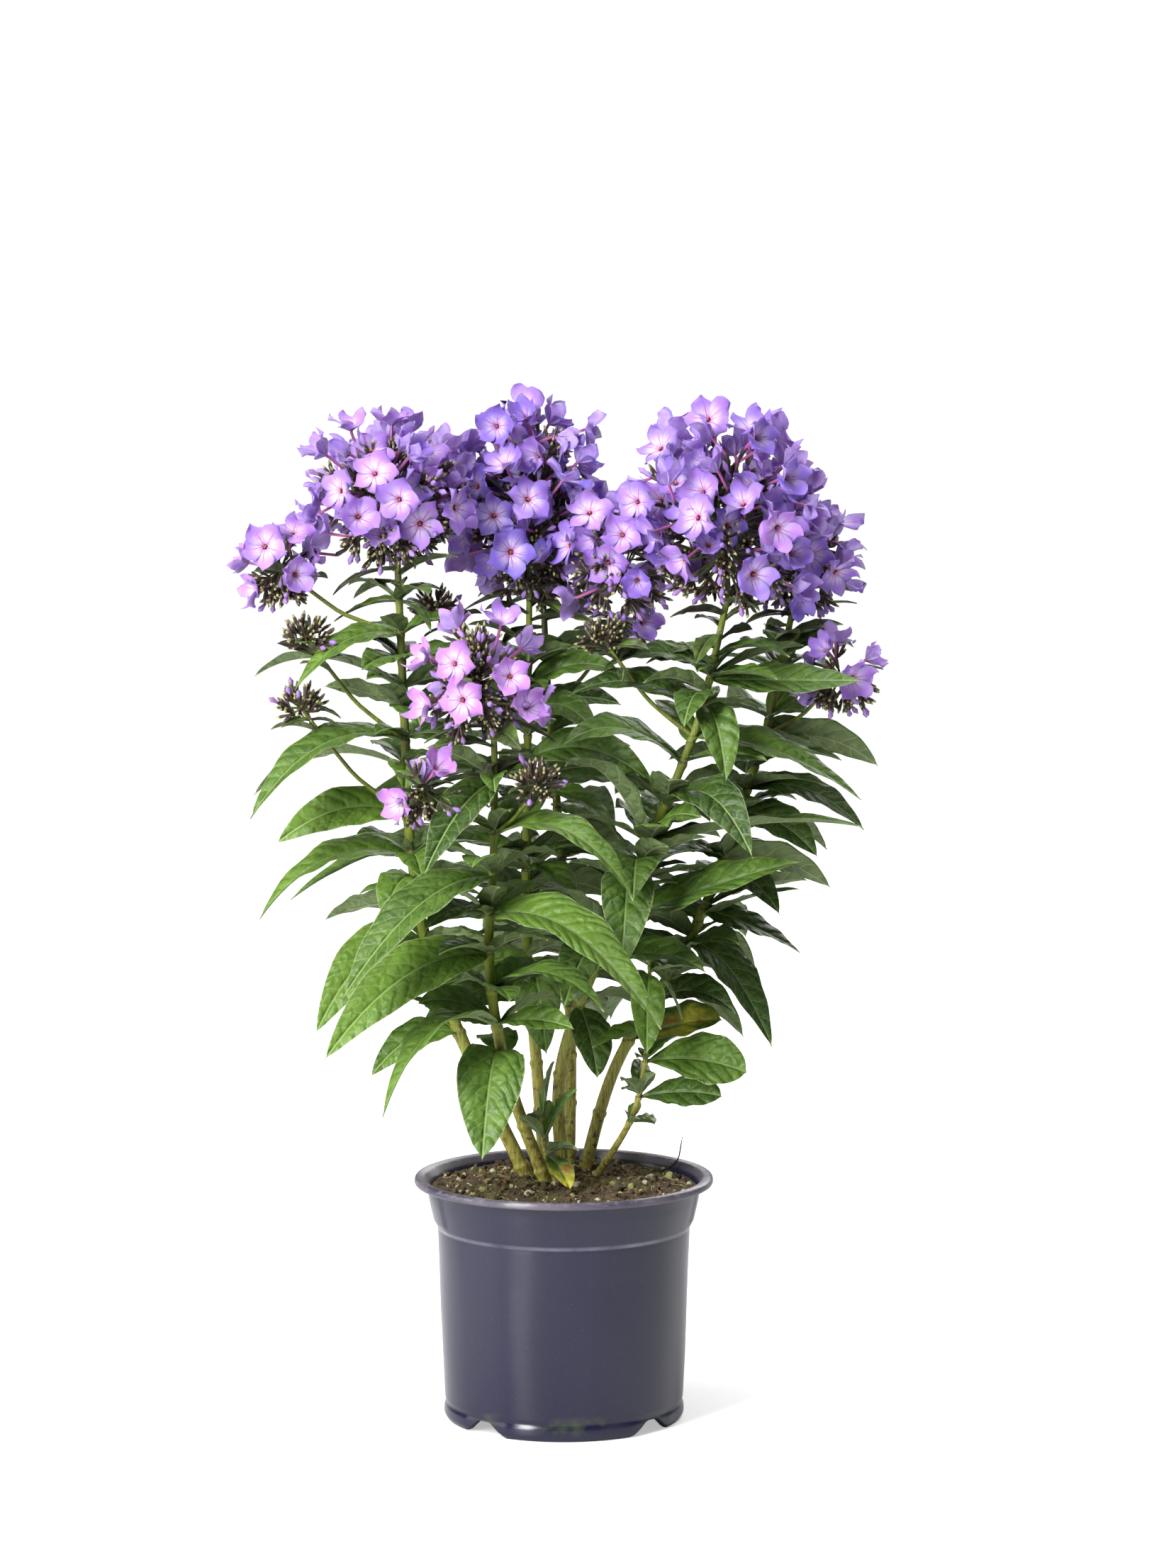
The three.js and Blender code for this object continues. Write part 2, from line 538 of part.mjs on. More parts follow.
// Even directions over a dome: the height falls from `top` to `lowest`, and each is a golden angle on.
function domeDirection(i, count, top, lowest, seed) {
  const z = top - ((top - lowest) * (i + 0.5)) / count;
  const level = Math.sqrt(1 - z * z);
  const angle = GOLDEN_ANGLE * i + seed;
  return vector(level * Math.cos(angle), level * Math.sin(angle), z);
}

const PETAL_SAMPLES = 25;

function floretSamples({ at, facing, radius, root }) {
  const across = vector(-facing.y, facing.x, 0.001).cross(facing).normalize();
  const up = facing.clone().cross(across);
  const points = [at];
  for (const [count, share] of [[16, 1], [8, 0.5]]) {
    for (let k = 0; k < count; k += 1) {
      const angle = (2 * Math.PI * k) / count;
      points.push(
        at.clone()
          .addScaledVector(across, share * radius * Math.cos(angle))
          .addScaledVector(up, share * radius * Math.sin(angle)),
      );
    }
  }
  for (let k = 1; k < 6; k += 1) points.push(at.clone().lerp(root, k / 6));
  return points;
}

// The point at `size` times the dome's radii in a direction from its centre.
function onDome(dome, direction, size) {
  return direction.clone().multiply(vector(...dome.radii)).multiplyScalar(size).add(vector(...dome.centre));
}

// The florets of one dome, each rooted in the core; one with no room for it is left out.
function growDome(owner, dome, share, neighbours = []) {
  const centre = vector(...dome.centre);
  const radii = vector(...dome.radii);
  const grown = [];
  for (let i = 0; i < dome.florets; i += 1) {
    const draw = (k) => chance(dome.seed * 100 + i * 7 + k) - 0.5;
    const direction = domeDirection(i, dome.florets, 1, LOWEST_FLORET, dome.seed);
    const reach = radii.clone().multiply(direction);
    const inNeighbour = neighbours.some((other) => {
      const offset = reach.clone().add(centre).sub(vector(...other.centre));
      return offset.divide(vector(...other.radii)).length() < MERGED;
    });
    if (inNeighbour) continue;
    const flower = {
      facing: direction.clone().multiply(vector(1, 1, 0.5))
        .add(vector(0.7 * draw(2), 0.7 * draw(3), 0.5 * draw(4) + 0.1)).normalize(),
      radius: FLORET_RADIUS * (1 + FLORET_RANGE * draw(5)),
      roll: 360 * draw(6),
      root: centre.clone().addScaledVector(reach, share / 2),
    };
    for (let shift = 0; shift < MOST_SHIFTS; shift += 1) {
      const depth = DEPTH_STEP * Math.ceil(shift / 2) * (shift % 2 ? 1 : -1);
      flower.at = centre.clone().addScaledVector(reach, 1 + FLORET_RANGE * draw(1) + depth);
      const samples = floretSamples(flower);
      const petals = samples.slice(0, PETAL_SAMPLES);
      if (!isClear(owner, samples, petals)) continue;
      place(owner, samples, CLEARANCE, petals);
      grown.push(floret(flower));
      break;
    }
  }
  return grown;
}

// ---- the pot and its soil ----
function potSolid() {
  const profile = [
    [0, FOOT_HEIGHT - WALL], [FOOT_INNER - 0.5, FOOT_HEIGHT - WALL],
    [FOOT_INNER, 0], [FOOT_OUTER, 0], [FOOT_BULGE, 3.5],
    [BODY_FOOT_RADIUS - 0.6, FOOT_HEIGHT - 0.6], [BODY_FOOT_RADIUS, FOOT_HEIGHT + 1],
    [BODY_TOP_RADIUS, STEP_HEIGHT - 1.5], [COLLAR_FOOT_RADIUS, STEP_HEIGHT + 2],
    [COLLAR_TOP_RADIUS, POT_HEIGHT - RIM_DEPTH], [RIM_RADIUS - 0.5, POT_HEIGHT - RIM_DEPTH],
    [RIM_RADIUS, POT_HEIGHT - 1.6], [RIM_RADIUS - 1.6, POT_HEIGHT], [MOUTH_RADIUS, POT_HEIGHT - 0.6],
    [COLLAR_TOP_RADIUS - WALL, POT_HEIGHT - RIM_DEPTH - 1],
    [COLLAR_FOOT_RADIUS - WALL - 1.4, STEP_HEIGHT + 1],
    [BODY_FOOT_RADIUS - WALL, FOOT_HEIGHT + 1], [0, FOOT_HEIGHT + 1],
  ];
  const outline = profile.map(([r, z]) => new THREE.Vector2(r, z));
  let pot = toSolid(new THREE.LatheGeometry(outline, POT_SIDES).rotateX(Math.PI / 2));
  const notch = new THREE.Shape();
  notch.moveTo(-NOTCH_FOOT, -1);
  notch.lineTo(NOTCH_FOOT, -1);
  notch.lineTo(NOTCH_HEAD, FOOT_HEIGHT - WALL - 0.5);
  notch.lineTo(-NOTCH_HEAD, FOOT_HEIGHT - WALL - 0.5);
  for (let k = 0; k < NOTCHES; k += 1) {
    const cut = new THREE.ExtrudeGeometry(notch, { depth: 30, bevelEnabled: false })
      .rotateX(Math.PI / 2)
      .translate(0, -55, 0)
      .rotateZ(radians(NOTCH_START + (360 * k) / NOTCHES));
    pot = pot.subtract(toSolid(cut));
  }
  for (let k = 0; k < DRAIN_HOLES; k += 1) {
    const angle = (2 * Math.PI * k) / DRAIN_HOLES;
    const drill = new THREE.CylinderGeometry(DRAIN_RADIUS, DRAIN_RADIUS, 3 * FOOT_HEIGHT, 8)
      .rotateX(Math.PI / 2)
      .translate(DRAIN_CIRCLE * Math.cos(angle), DRAIN_CIRCLE * Math.sin(angle), FOOT_HEIGHT);
    pot = pot.subtract(toSolid(drill));
  }
  return pot;
}

function soilSolid() {
  const floor = FOOT_HEIGHT + 1 + GAP;
  const profile = [
    [0, floor], [BODY_FOOT_RADIUS - WALL - GAP, floor],
    [COLLAR_FOOT_RADIUS - WALL - 1.4 - GAP, STEP_HEIGHT + 1],
    [COLLAR_TOP_RADIUS - WALL - GAP - 0.4, SOIL_EDGE], [48, SOIL_CROWN - 1], [0, SOIL_CROWN],
  ];
  const outline = profile.map(([r, z]) => new THREE.Vector2(r, z));
  let soil = toSolid(new THREE.LatheGeometry(outline, POT_SIDES).rotateX(Math.PI / 2));
  for (const stem of Object.values(STEMS)) {
    soil = soil.subtract(toSolid(stemBar(stem, [ROOT_DEPTH - GAP, ROOT_TOP], GAP)));
  }
  return soil;
}

// ---- assembly ----
const phlox = new THREE.Group();

function add(name, solid, color, roughness) {
  const material = new THREE.MeshStandardMaterial({ color, roughness, metalness: 0 });
  const mesh = new THREE.Mesh(toGeometry(solid), material);
  mesh.name = name;
  phlox.add(mesh);
}

add("pot", potSolid(), POT_COLOUR, 0.45);
add("soil", soilSolid(), SOIL_COLOUR, 1);

// Everything that stays where it is goes first, so that the leaves and florets can keep clear of it.
for (const [name, stem] of Object.entries(STEMS)) {
  const line = [];
  for (let z = KNOT_BASE; z <= stem.top; z += 4) line.push(stemPoint(stem, z));
  place(name, line, CLEARANCE + stem.base * 0.7);
}
const headCores = {};
for (const [name, domes] of Object.entries(HEADS)) {
  headCores[name] = domes.map((dome) => core("head_" + name, dome, CORE_SHARE));
}
const sprayParts = {};
for (const name of Object.keys(STEMS)) {
  sprayParts[name] = SPRAYS.filter((spray) => spray.stem === name).flatMap((spray) => {
    const dome = { ...spray, centre: spray.tip, detail: 0 };
    const root = stemPoint(STEMS[name], spray.node);
    const tip = vector(...spray.tip);
    const elbow = root.clone().lerp(tip, 0.5).add(vector(0, 0, -SPRAY_SAG * root.distanceTo(tip)));
    for (const end of [root, tip]) {
      place(name, Array.from({ length: 8 }, (_, k) => elbow.clone().lerp(end, (k + 1) / 8)), CLEARANCE + 1);
    }
    const stalk = bar([root, elbow, tip], SPRAY_RADII, 4);
    return [stalk, core(name, dome, TUFT_SHARE), ...growDome(name, dome, TUFT_SHARE)];
  });
}
const leaves = {};
Object.keys(LEAVES).forEach((name, i) => {
  leaves[name] = growLeaves(name, 100 * i);
});
for (const [name, stem] of Object.entries(STEMS)) {
  const parts = [stemBar(stem, stemHeights(stem), 0), ...sprayParts[name], ...leaves[name].map(blade)];
  add("stem_" + name, fuse(parts), LEAF_COLOUR, 0.6);
}
for (const [name, domes] of Object.entries(HEADS)) {
  const seat = stemPoint(STEMS[name], STEMS[name].top).add(vector(0, 0, 2 * GAP));
  const centre = vector(...domes[0].centre);
  const parts = [bar([seat, centre], [1.8, 3], 5), ...headCores[name]];
  for (const dome of domes) {
    const others = domes.filter((other) => other !== dome);
    if (dome !== domes[0]) parts.push(bar([centre, vector(...dome.centre)], [3, 2], 4));
    parts.push(...growDome("head_" + name, dome, CORE_SHARE, others));
  }
  add("head_" + name, fuse(parts), FLORET_COLOUR, 0.6);
}

export default phlox;
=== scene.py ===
"""A garden phlox in flower in its nursery pot. Shapes are worked out in millimetres and stored in metres."""

import itertools
import math

import bpy
import numpy as np
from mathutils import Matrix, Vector


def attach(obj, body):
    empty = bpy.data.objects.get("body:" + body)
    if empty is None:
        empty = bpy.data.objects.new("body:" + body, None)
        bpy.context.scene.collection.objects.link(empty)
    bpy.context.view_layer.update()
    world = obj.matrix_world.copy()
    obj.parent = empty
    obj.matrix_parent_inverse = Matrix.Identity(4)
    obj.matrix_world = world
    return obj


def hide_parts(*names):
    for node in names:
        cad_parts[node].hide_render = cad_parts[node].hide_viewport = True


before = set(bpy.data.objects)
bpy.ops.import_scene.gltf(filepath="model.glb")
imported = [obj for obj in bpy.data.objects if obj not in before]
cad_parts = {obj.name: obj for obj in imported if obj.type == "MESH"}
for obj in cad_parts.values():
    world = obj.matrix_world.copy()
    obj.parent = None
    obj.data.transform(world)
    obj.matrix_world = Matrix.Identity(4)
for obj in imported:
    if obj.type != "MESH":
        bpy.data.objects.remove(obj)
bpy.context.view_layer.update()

# ---- studio ----
# A floor of white paper under soft boxes. Away from the plant the paper glows a little, so that it
# runs into the white surroundings with no horizon.
MM = 0.001
SHARP_ANGLE = 65
FLOOR_HALF = 30000
GLOW_START = -0.6
GLOW_FULL = 0.9
GLOW_SHARE = 0.06
SKY_LIGHT = 0.12
CAMERA_PLACE = (0.0153, -3.0, 0.735)
CAMERA_TILT = 6.29
CAMERA_LENS = 110.2
CAMERA_SENSOR = 36
# For each soft box: its place and the point that it lights, in metres, its width, height and power.
SOFT_BOXES = {
    "key_light": ((-1.1, -1.4, 1.3), (0, 0, 0.4), 0.55, 1.8, 65),
    "fill_light": ((2.2, -1.8, 1.2), (0, 0, 0.35), 1.2, 1.2, 1.5),
    "side_light": ((-2.2, -0.4, 0.8), (0, 0, 0.3), 1.6, 1.4, 16),
    "top_light": ((0.3, 0.2, 2.6), (0, 0, 0.3), 1.6, 1.6, 40),
    "back_light": ((0.7, 2.4, 1.5), (0, 0, 0.4), 2.0, 1.4, 30),
}


def new_piece(name, points, faces, values=None):
    """A mesh object from points in millimetres and lists of corner numbers. Each entry of `values`
    is an attribute with three numbers a point."""
    mesh = bpy.data.meshes.new(name)
    mesh.from_pydata((points.reshape(-1, 3) * MM).tolist(), [], faces)
    for label, numbers in (values or {}).items():
        layer = mesh.attributes.new(label, "FLOAT_VECTOR", "POINT")
        layer.data.foreach_set("vector", np.ascontiguousarray(numbers, dtype=np.float32).ravel())
    mesh.shade_smooth()
    mesh.set_sharp_from_angle(angle=math.radians(SHARP_ANGLE))
    piece = bpy.data.objects.new(name, mesh)
    bpy.context.scene.collection.objects.link(piece)
    return piece


def shader(name, values):
    """A new material, its node tree, its Principled shader with `values` set on its sockets, and the
    piece's Object coordinates."""
    material = bpy.data.materials.new(name)
    material.use_nodes = True
    tree = material.node_tree
    principled = tree.nodes["Principled BSDF"]
    for label, value in values.items():
        principled.inputs[label].default_value = value
    return material, tree, principled, tree.nodes.new("ShaderNodeTexCoord").outputs["Object"]


def feed(tree, principled, sockets):
    """Links what changes over the surface to the shader's inputs of the same names."""
    for label, socket in sockets.items():
        tree.links.new(socket, principled.inputs[label])


def node(tree, kind, settings=None, **inputs):
    """A node of `kind`. A value given for an input is set on its socket, and a socket is linked to it."""
    made = tree.nodes.new("ShaderNode" + kind)
    for label, value in (settings or {}).items():
        setattr(made, label, value)
    for label, value in inputs.items():
        key = int(label[1:]) if label[0] == "i" and label[1:].isdigit() else label.replace("_", " ")
        if isinstance(value, bpy.types.NodeSocket):
            tree.links.new(value, made.inputs[key])
        else:
            made.inputs[key].default_value = value
    return made


corners = np.array([(-1, -1, 0), (1, -1, 0), (1, 1, 0), (-1, 1, 0)]) * FLOOR_HALF
floor = new_piece("floor", corners, [(0, 1, 2, 3)])
paper, tree, principled, place_on = shader("white_paper", {
    "Roughness": 0.9, "Base Color": (0.82, 0.82, 0.82, 1), "Emission Strength": 1.0,
})
away = node(tree, "VectorMath", {"operation": "LENGTH"}, i0=place_on)
glow = node(tree, "MapRange", Value=away.outputs["Value"], From_Min=GLOW_START, From_Max=GLOW_FULL)
direct = node(tree, "LightPath").outputs["Is Camera Ray"]
direct = node(tree, "MapRange", Value=direct, To_Min=GLOW_SHARE, To_Max=1.0).outputs["Result"]
glow = node(tree, "Math", {"operation": "MULTIPLY"}, i0=glow.outputs["Result"], i1=direct)
feed(tree, principled, {"Emission Color": glow.outputs[0]})
floor.data.materials.append(paper)

camera = bpy.data.objects.new("camera", bpy.data.cameras.new("camera"))
camera.location = CAMERA_PLACE
camera.rotation_euler = (math.radians(90 - CAMERA_TILT), 0, 0)
camera.data.lens = CAMERA_LENS
camera.data.sensor_width = CAMERA_SENSOR
bpy.context.scene.collection.objects.link(camera)
bpy.context.scene.camera = camera

for name, (position, target, width, height, power) in SOFT_BOXES.items():
    light = bpy.data.lights.new(name, "AREA")
    light.shape = "RECTANGLE"
    light.size = width
    light.size_y = height
    light.energy = power
    lamp = bpy.data.objects.new(name, light)
    lamp.location = position
    towards = Vector(target) - Vector(position)
    lamp.rotation_euler = towards.to_track_quat("-Z", "Y").to_euler()
    bpy.context.scene.collection.objects.link(lamp)
sky = bpy.data.worlds.new("studio")
sky.use_nodes = True
sky.node_tree.nodes["Background"].inputs["Color"].default_value = (1, 1, 1, 1)
seen = node(sky.node_tree, "LightPath").outputs["Is Camera Ray"]
white = node(sky.node_tree, "MapRange", Value=seen, To_Min=SKY_LIGHT, To_Max=1.0).outputs["Result"]
sky.node_tree.links.new(white, sky.node_tree.nodes["Background"].inputs["Strength"])
bpy.context.scene.world = sky
bpy.context.scene.view_settings.view_transform = "Standard"

# ---- pot ----
# A blow-moulded nursery pot of slate-coloured plastic. A collar stands out above the wall, with two
# raised pads to grip, and the foot ring is cut by notches so that water can run away.
POT_HEIGHT = 155
RIM_RADIUS = 95
RIM_DEPTH = 5
MOUTH_RADIUS = 88.2
COLLAR_TOP_RADIUS = 86.3
COLLAR_FOOT_RADIUS = 81.6
STEP_HEIGHT = 124
BODY_TOP_RADIUS = 80
BODY_FOOT_RADIUS = 75.8
FOOT_HEIGHT = 11
FOOT_INNER = 70.5
FOOT_OUTER = 74.4
FOOT_BULGE = 76.4
WALL = 1.6
POT_SIDES = 200
NOTCHES = 4
NOTCH_START = 48
NOTCH_FOOT = 17
NOTCH_HEAD = 5
DRAIN_HOLES = 6
DRAIN_RADIUS = 4.5
DRAIN_CIRCLE = 52
PAD_CENTRES = (6, 186)
PAD_HALF = 20
PAD_EDGE = 1.5
PAD_RISE = 0.9


def ring_faces(rows, ring, copies=1, under=0):
    """Faces of closed skins: `copies` grids of `rows` rings with `ring` points each, joined round
    and along, with one flat face over the first and the last ring. The last `under` faces of a ring
    start a corner earlier, so that the two sides of a thin sheet fold along the same diagonals."""
    corner = np.arange(copies * rows * ring).reshape(copies, rows, ring)
    following = np.roll(corner, -1, axis=2)
    sides = np.stack([corner[:, :-1], following[:, :-1], following[:, 1:], corner[:, 1:]], -1)
    if under:
        sides[:, :, -under:] = np.roll(sides[:, :, -under:], 1, axis=-1)
    return sides.reshape(-1, 4).tolist() + corner[:, 0, ::-1].tolist() + corner[:, -1].tolist()


def smooth_step(value, low, high):
    """From 0 at `low` to 1 at `high`, level at both ends: t squared times (3 - 2t)."""
    t = np.clip((value - low) / (high - low), 0, 1)
    return t * t * (3 - 2 * t)


def arc(start, bend, end, t):
    """A quadratic curve at shares `t`: (1 - t) squared, 2t (1 - t) and t squared of its three points."""
    return start * (1 - t) ** 2 + bend * 2 * t * (1 - t) + end * t ** 2


def rounded(profile, radius, steps=5):
    """A profile of (r, z) corners, each cut back by up to `radius` and bridged by a curve."""
    corners = np.array(profile, float)
    before, here, after = corners[:-2], corners[1:-1], corners[2:]
    reach = lambda far: np.minimum(radius / np.linalg.norm(far - here, axis=1), 0.45)[:, None]
    start = here + (before - here) * reach(before)
    end = here + (after - here) * reach(after)
    t = np.linspace(0, 1, steps)[None, :, None]
    curve = arc(start[:, None], here[:, None], end[:, None], t)
    return np.concatenate([corners[:1], curve.reshape(-1, 2), corners[-1:]])


pot_profile = rounded([
    (0.01, FOOT_HEIGHT - WALL), (60, FOOT_HEIGHT - WALL), (FOOT_INNER - 0.5, FOOT_HEIGHT - WALL),
    (FOOT_INNER, 0), (FOOT_OUTER, 0), (FOOT_BULGE, 3.5), (FOOT_BULGE - 0.2, 8),
    (BODY_FOOT_RADIUS - 0.9, FOOT_HEIGHT - 0.2), (BODY_FOOT_RADIUS, FOOT_HEIGHT + 2),
    (BODY_FOOT_RADIUS + 1.1, 40), (BODY_FOOT_RADIUS + 2.3, 70), (BODY_FOOT_RADIUS + 3.2, 98),
    (BODY_TOP_RADIUS, STEP_HEIGHT - 4),
    (BODY_TOP_RADIUS, STEP_HEIGHT - 1.5), (COLLAR_FOOT_RADIUS - 0.4, STEP_HEIGHT + 0.6),
    (COLLAR_FOOT_RADIUS + 0.6, STEP_HEIGHT + 5), (COLLAR_TOP_RADIUS - 1.6, POT_HEIGHT - RIM_DEPTH - 10),
    (COLLAR_TOP_RADIUS, POT_HEIGHT - RIM_DEPTH), (RIM_RADIUS - 1, POT_HEIGHT - RIM_DEPTH),
    (RIM_RADIUS, POT_HEIGHT - 3.4), (RIM_RADIUS - 0.7, POT_HEIGHT - 0.5), (RIM_RADIUS - 3, POT_HEIGHT),
    (MOUTH_RADIUS, POT_HEIGHT - 0.7), (COLLAR_TOP_RADIUS - WALL, POT_HEIGHT - RIM_DEPTH - 1),
    (COLLAR_FOOT_RADIUS - WALL - 1.4, STEP_HEIGHT + 1), (BODY_FOOT_RADIUS - WALL, FOOT_HEIGHT + 1),
    (30, FOOT_HEIGHT + 1), (0.01, FOOT_HEIGHT + 1),
], 1.2)


def on_circle(r, turns, z):
    """Points at radius r, angle `turns` and height z: r cos, r sin and z."""
    return np.stack(np.broadcast_arrays(r * np.cos(turns), r * np.sin(turns), z), -1)


def pot_wall(profile):
    """The profile turned round the axis. A pad adds to the collar's radius, the wall sways by up to
    half a millimetre as blown plastic does, and in a notch the foot's lowest points are lifted to the
    notch's sloping outline."""
    turns = np.radians(np.arange(POT_SIDES) * 360 / POT_SIDES)
    r = np.repeat(profile[:, :1], POT_SIDES, axis=1)
    z = np.repeat(profile[:, 1:], POT_SIDES, axis=1)
    outside = (np.arange(len(profile)) < np.argmax(profile[:, 1]))[:, None]
    for centre in PAD_CENTRES:
        away = np.abs((np.degrees(turns) - centre + 180) % 360 - 180)
        pad = 1 - smooth_step(away, PAD_HALF - PAD_EDGE, PAD_HALF + PAD_EDGE)
        height = smooth_step(z, STEP_HEIGHT + 1, STEP_HEIGHT + 4)
        height = height * (1 - smooth_step(z, POT_HEIGHT - 7, POT_HEIGHT - 5))
        r = r + outside * PAD_RISE * pad * height
    sway = 0.25 * np.sin(2 * turns + 0.8) + 0.18 * np.sin(5 * turns) + 0.16 * np.sin(7 * turns + z / 17)
    r = r + (r > 20) * sway * smooth_step(z, 12, 40) * (1 - smooth_step(z, 100, 122))
    for k in range(NOTCHES):
        away = (np.degrees(turns) - NOTCH_START - 360 * k / NOTCHES + 180) % 360 - 180
        offset = np.abs(np.radians(away)) * FOOT_OUTER
        slope = np.clip((NOTCH_FOOT - offset) / (NOTCH_FOOT - NOTCH_HEAD), 0, 1)
        foot = (r > FOOT_INNER - 5.5) & (z < FOOT_HEIGHT - 0.5)
        z = np.where(foot, np.maximum(z, slope * (FOOT_HEIGHT - WALL - 0.5)), z)
        r = np.where(foot & (r > FOOT_OUTER), r - slope * (r - FOOT_OUTER) * 0.7, r)
    return on_circle(r, turns, z)


pot_points = pot_wall(pot_profile)
pot = new_piece("nursery_pot", pot_points, ring_faces(len(pot_profile), POT_SIDES))
drill = np.linspace(0, 2 * math.pi, 24, endpoint=False)
for k in range(DRAIN_HOLES):
    centre = on_circle(DRAIN_CIRCLE, 2 * math.pi * k / DRAIN_HOLES, 0)
    bit = np.concatenate([centre + on_circle(DRAIN_RADIUS, drill, height) for height in (-5, 30)])
    cutter = new_piece("drill", bit, ring_faces(2, len(drill)))
    hole = pot.modifiers.new("drain_hole", "BOOLEAN")
    hole.object = cutter
    drilled = bpy.data.meshes.new_from_object(pot.evaluated_get(bpy.context.evaluated_depsgraph_get()))
    pot.modifiers.remove(hole)
    pot.data = drilled
    bpy.data.objects.remove(cutter)
pot.data.name = "nursery_pot"

mottle_group = bpy.data.node_groups.new("mottle", "ShaderNodeTree")
for label, kind in (("Vector", "NodeSocketVector"), ("Scale", "NodeSocketFloat"), ("Low", "NodeSocketFloat"),
                    ("High", "NodeSocketFloat")):
    mottle_group.interface.new_socket(label, in_out="INPUT", socket_type=kind)
mottle_group.interface.new_socket("Mask", in_out="OUTPUT", socket_type="NodeSocketFloat")
mottle_in = mottle_group.nodes.new("NodeGroupInput")
mottle_noise = node(mottle_group, "TexNoise", Vector=mottle_in.outputs["Vector"],
                    Scale=mottle_in.outputs["Scale"], Detail=5.0)
mottle_range = node(mottle_group, "MapRange", Value=mottle_noise.outputs["Fac"],
                    From_Min=mottle_in.outputs["Low"], From_Max=mottle_in.outputs["High"])
mottle_out = mottle_group.nodes.new("NodeGroupOutput")
mottle_group.links.new(mottle_range.outputs["Result"], mottle_out.inputs["Mask"])


def mottle(tree, vector, scale, low, high):
    """Cloudy patches: 0 where fine noise is under `low`, 1 where it is over `high`."""
    made = tree.nodes.new("ShaderNodeGroup")
    made.node_tree = mottle_group
    tree.links.new(vector, made.inputs["Vector"])
    for label, value in (("Scale", scale), ("Low", low), ("High", high)):
        made.inputs[label].default_value = value
    return made.outputs["Mask"]


def blend(tree, mask, first, second):
    """A colour that goes from `first` to `second` with the mask; either may be a socket."""
    made = node(tree, "Mix", {"data_type": "RGBA"}, Factor=mask)
    for index, colour in ((6, first), (7, second)):
        if isinstance(colour, bpy.types.NodeSocket):
            tree.links.new(colour, made.inputs[index])
        else:
            made.inputs[index].default_value = (*colour, 1)
    return made.outputs[2]


def math_node(tree, operation, first, second=0.0, third=0.0):
    """The result of a Math node."""
    return node(tree, "Math", {"operation": operation}, i0=first, i1=second, i2=third).outputs[0]


def times(tree, first, second):
    """The product of two values."""
    return math_node(tree, "MULTIPLY", first, second)


def attribute(tree, label):
    """The three numbers a point of the attribute `label`, as a vector."""
    return node(tree, "Attribute", {"attribute_name": label}).outputs["Vector"]


def parts_of(tree, vector):
    """The X, Y and Z of a vector."""
    return node(tree, "SeparateXYZ", Vector=vector).outputs


def band(tree, value, low, high):
    """A smooth rise from 0 at `low` to 1 at `high`; it falls instead where low is above high."""
    settings = {"interpolation_type": "SMOOTHSTEP"}
    return node(tree, "MapRange", settings, Value=value, From_Min=low, From_Max=high).outputs["Result"]


def coats(tree, colour, layers):
    """Each colour of (mask, share, colour) laid over the last, as strongly as its share of the mask."""
    for mask, share, over in layers:
        colour = blend(tree, mask if share == 1 else times(tree, mask, share), colour, over)
    return colour


def bump(tree, height, strength, distance):
    """A normal for a height in units of `distance` metres."""
    made = node(tree, "Bump", Height=height, Strength=strength, Distance=distance)
    return made.outputs["Normal"]


def hand_over(piece, material, node_name):
    """Gives a piece its material and its body, and hides the CAD part of the node that it stands for."""
    piece.data.materials.clear()
    piece.data.materials.append(material)
    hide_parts(node_name)
    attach(piece, "root")


plastic, tree, principled, place_on = shader("slate_plastic", {
    "Specular IOR Level": 0.66, "Anisotropic": 0.9, "Anisotropic Rotation": 0.25,
})
# The heights of the bands are in metres, as the Object coordinates are.
upright = node(tree, "Tangent", {"direction_type": "RADIAL", "axis": "Z"}).outputs["Tangent"]
height = parts_of(tree, place_on)["Z"]
streaks = node(tree, "Mapping", Vector=place_on, Scale=(1, 1, 0.06)).outputs["Vector"]
scratches = node(tree, "Mapping", Vector=place_on, Scale=(1, 1, 4)).outputs["Vector"]
dust = mottle(tree, place_on, 900, 0.66, 0.74)
worn_rim = times(tree, band(tree, height, 0.1495, 0.1515), mottle(tree, place_on, 30, 0.15, 0.6))
scratched_rim = times(tree, band(tree, height, 0.152, 0.1535), mottle(tree, scratches, 190, 0.5, 0.75))
# A light line round the step of the collar: partly wear, partly a painted highlight on the crease's edge.
crease_wear_and_highlight = times(tree, band(tree, height, 0.1218, 0.1226), band(tree, height, 0.1252, 0.1238))
crease_wear_and_highlight = times(tree, crease_wear_and_highlight, mottle(tree, place_on, 40, 0.25, 0.7))
foot = times(tree, band(tree, height, 0.002, 0.009), band(tree, height, 0.018, 0.0115))
moss = times(tree, foot, mottle(tree, place_on, 48, 0.54, 0.72))
slate = blend(tree, mottle(tree, streaks, 30, 0.2, 0.8), (0.0055, 0.005, 0.027), (0.0092, 0.0084, 0.041))
slate = coats(tree, slate, [
    (dust, 0.35, (0.12, 0.12, 0.16)),
    (worn_rim, 1, (0.13, 0.115, 0.145)),
    (scratched_rim, 1, (0.27, 0.235, 0.28)),
    (crease_wear_and_highlight, 1, (0.16, 0.16, 0.22)),
    (moss, 0.7, (0.075, 0.1, 0.035)),
])
gloss = mottle(tree, streaks, 35, 0.2, 0.8)
gloss = node(tree, "MapRange", Value=gloss, To_Min=0.22, To_Max=0.28).outputs["Result"]
gloss = math_node(tree, "ADD", gloss, times(tree, worn_rim, 0.15))
dents = bump(tree, mottle(tree, streaks, 22, 0.0, 1.0), 0.25, 0.0012)
feed(tree, principled, {"Base Color": slate, "Roughness": gloss, "Normal": dents, "Tangent": upright})
hand_over(pot, plastic, "pot")

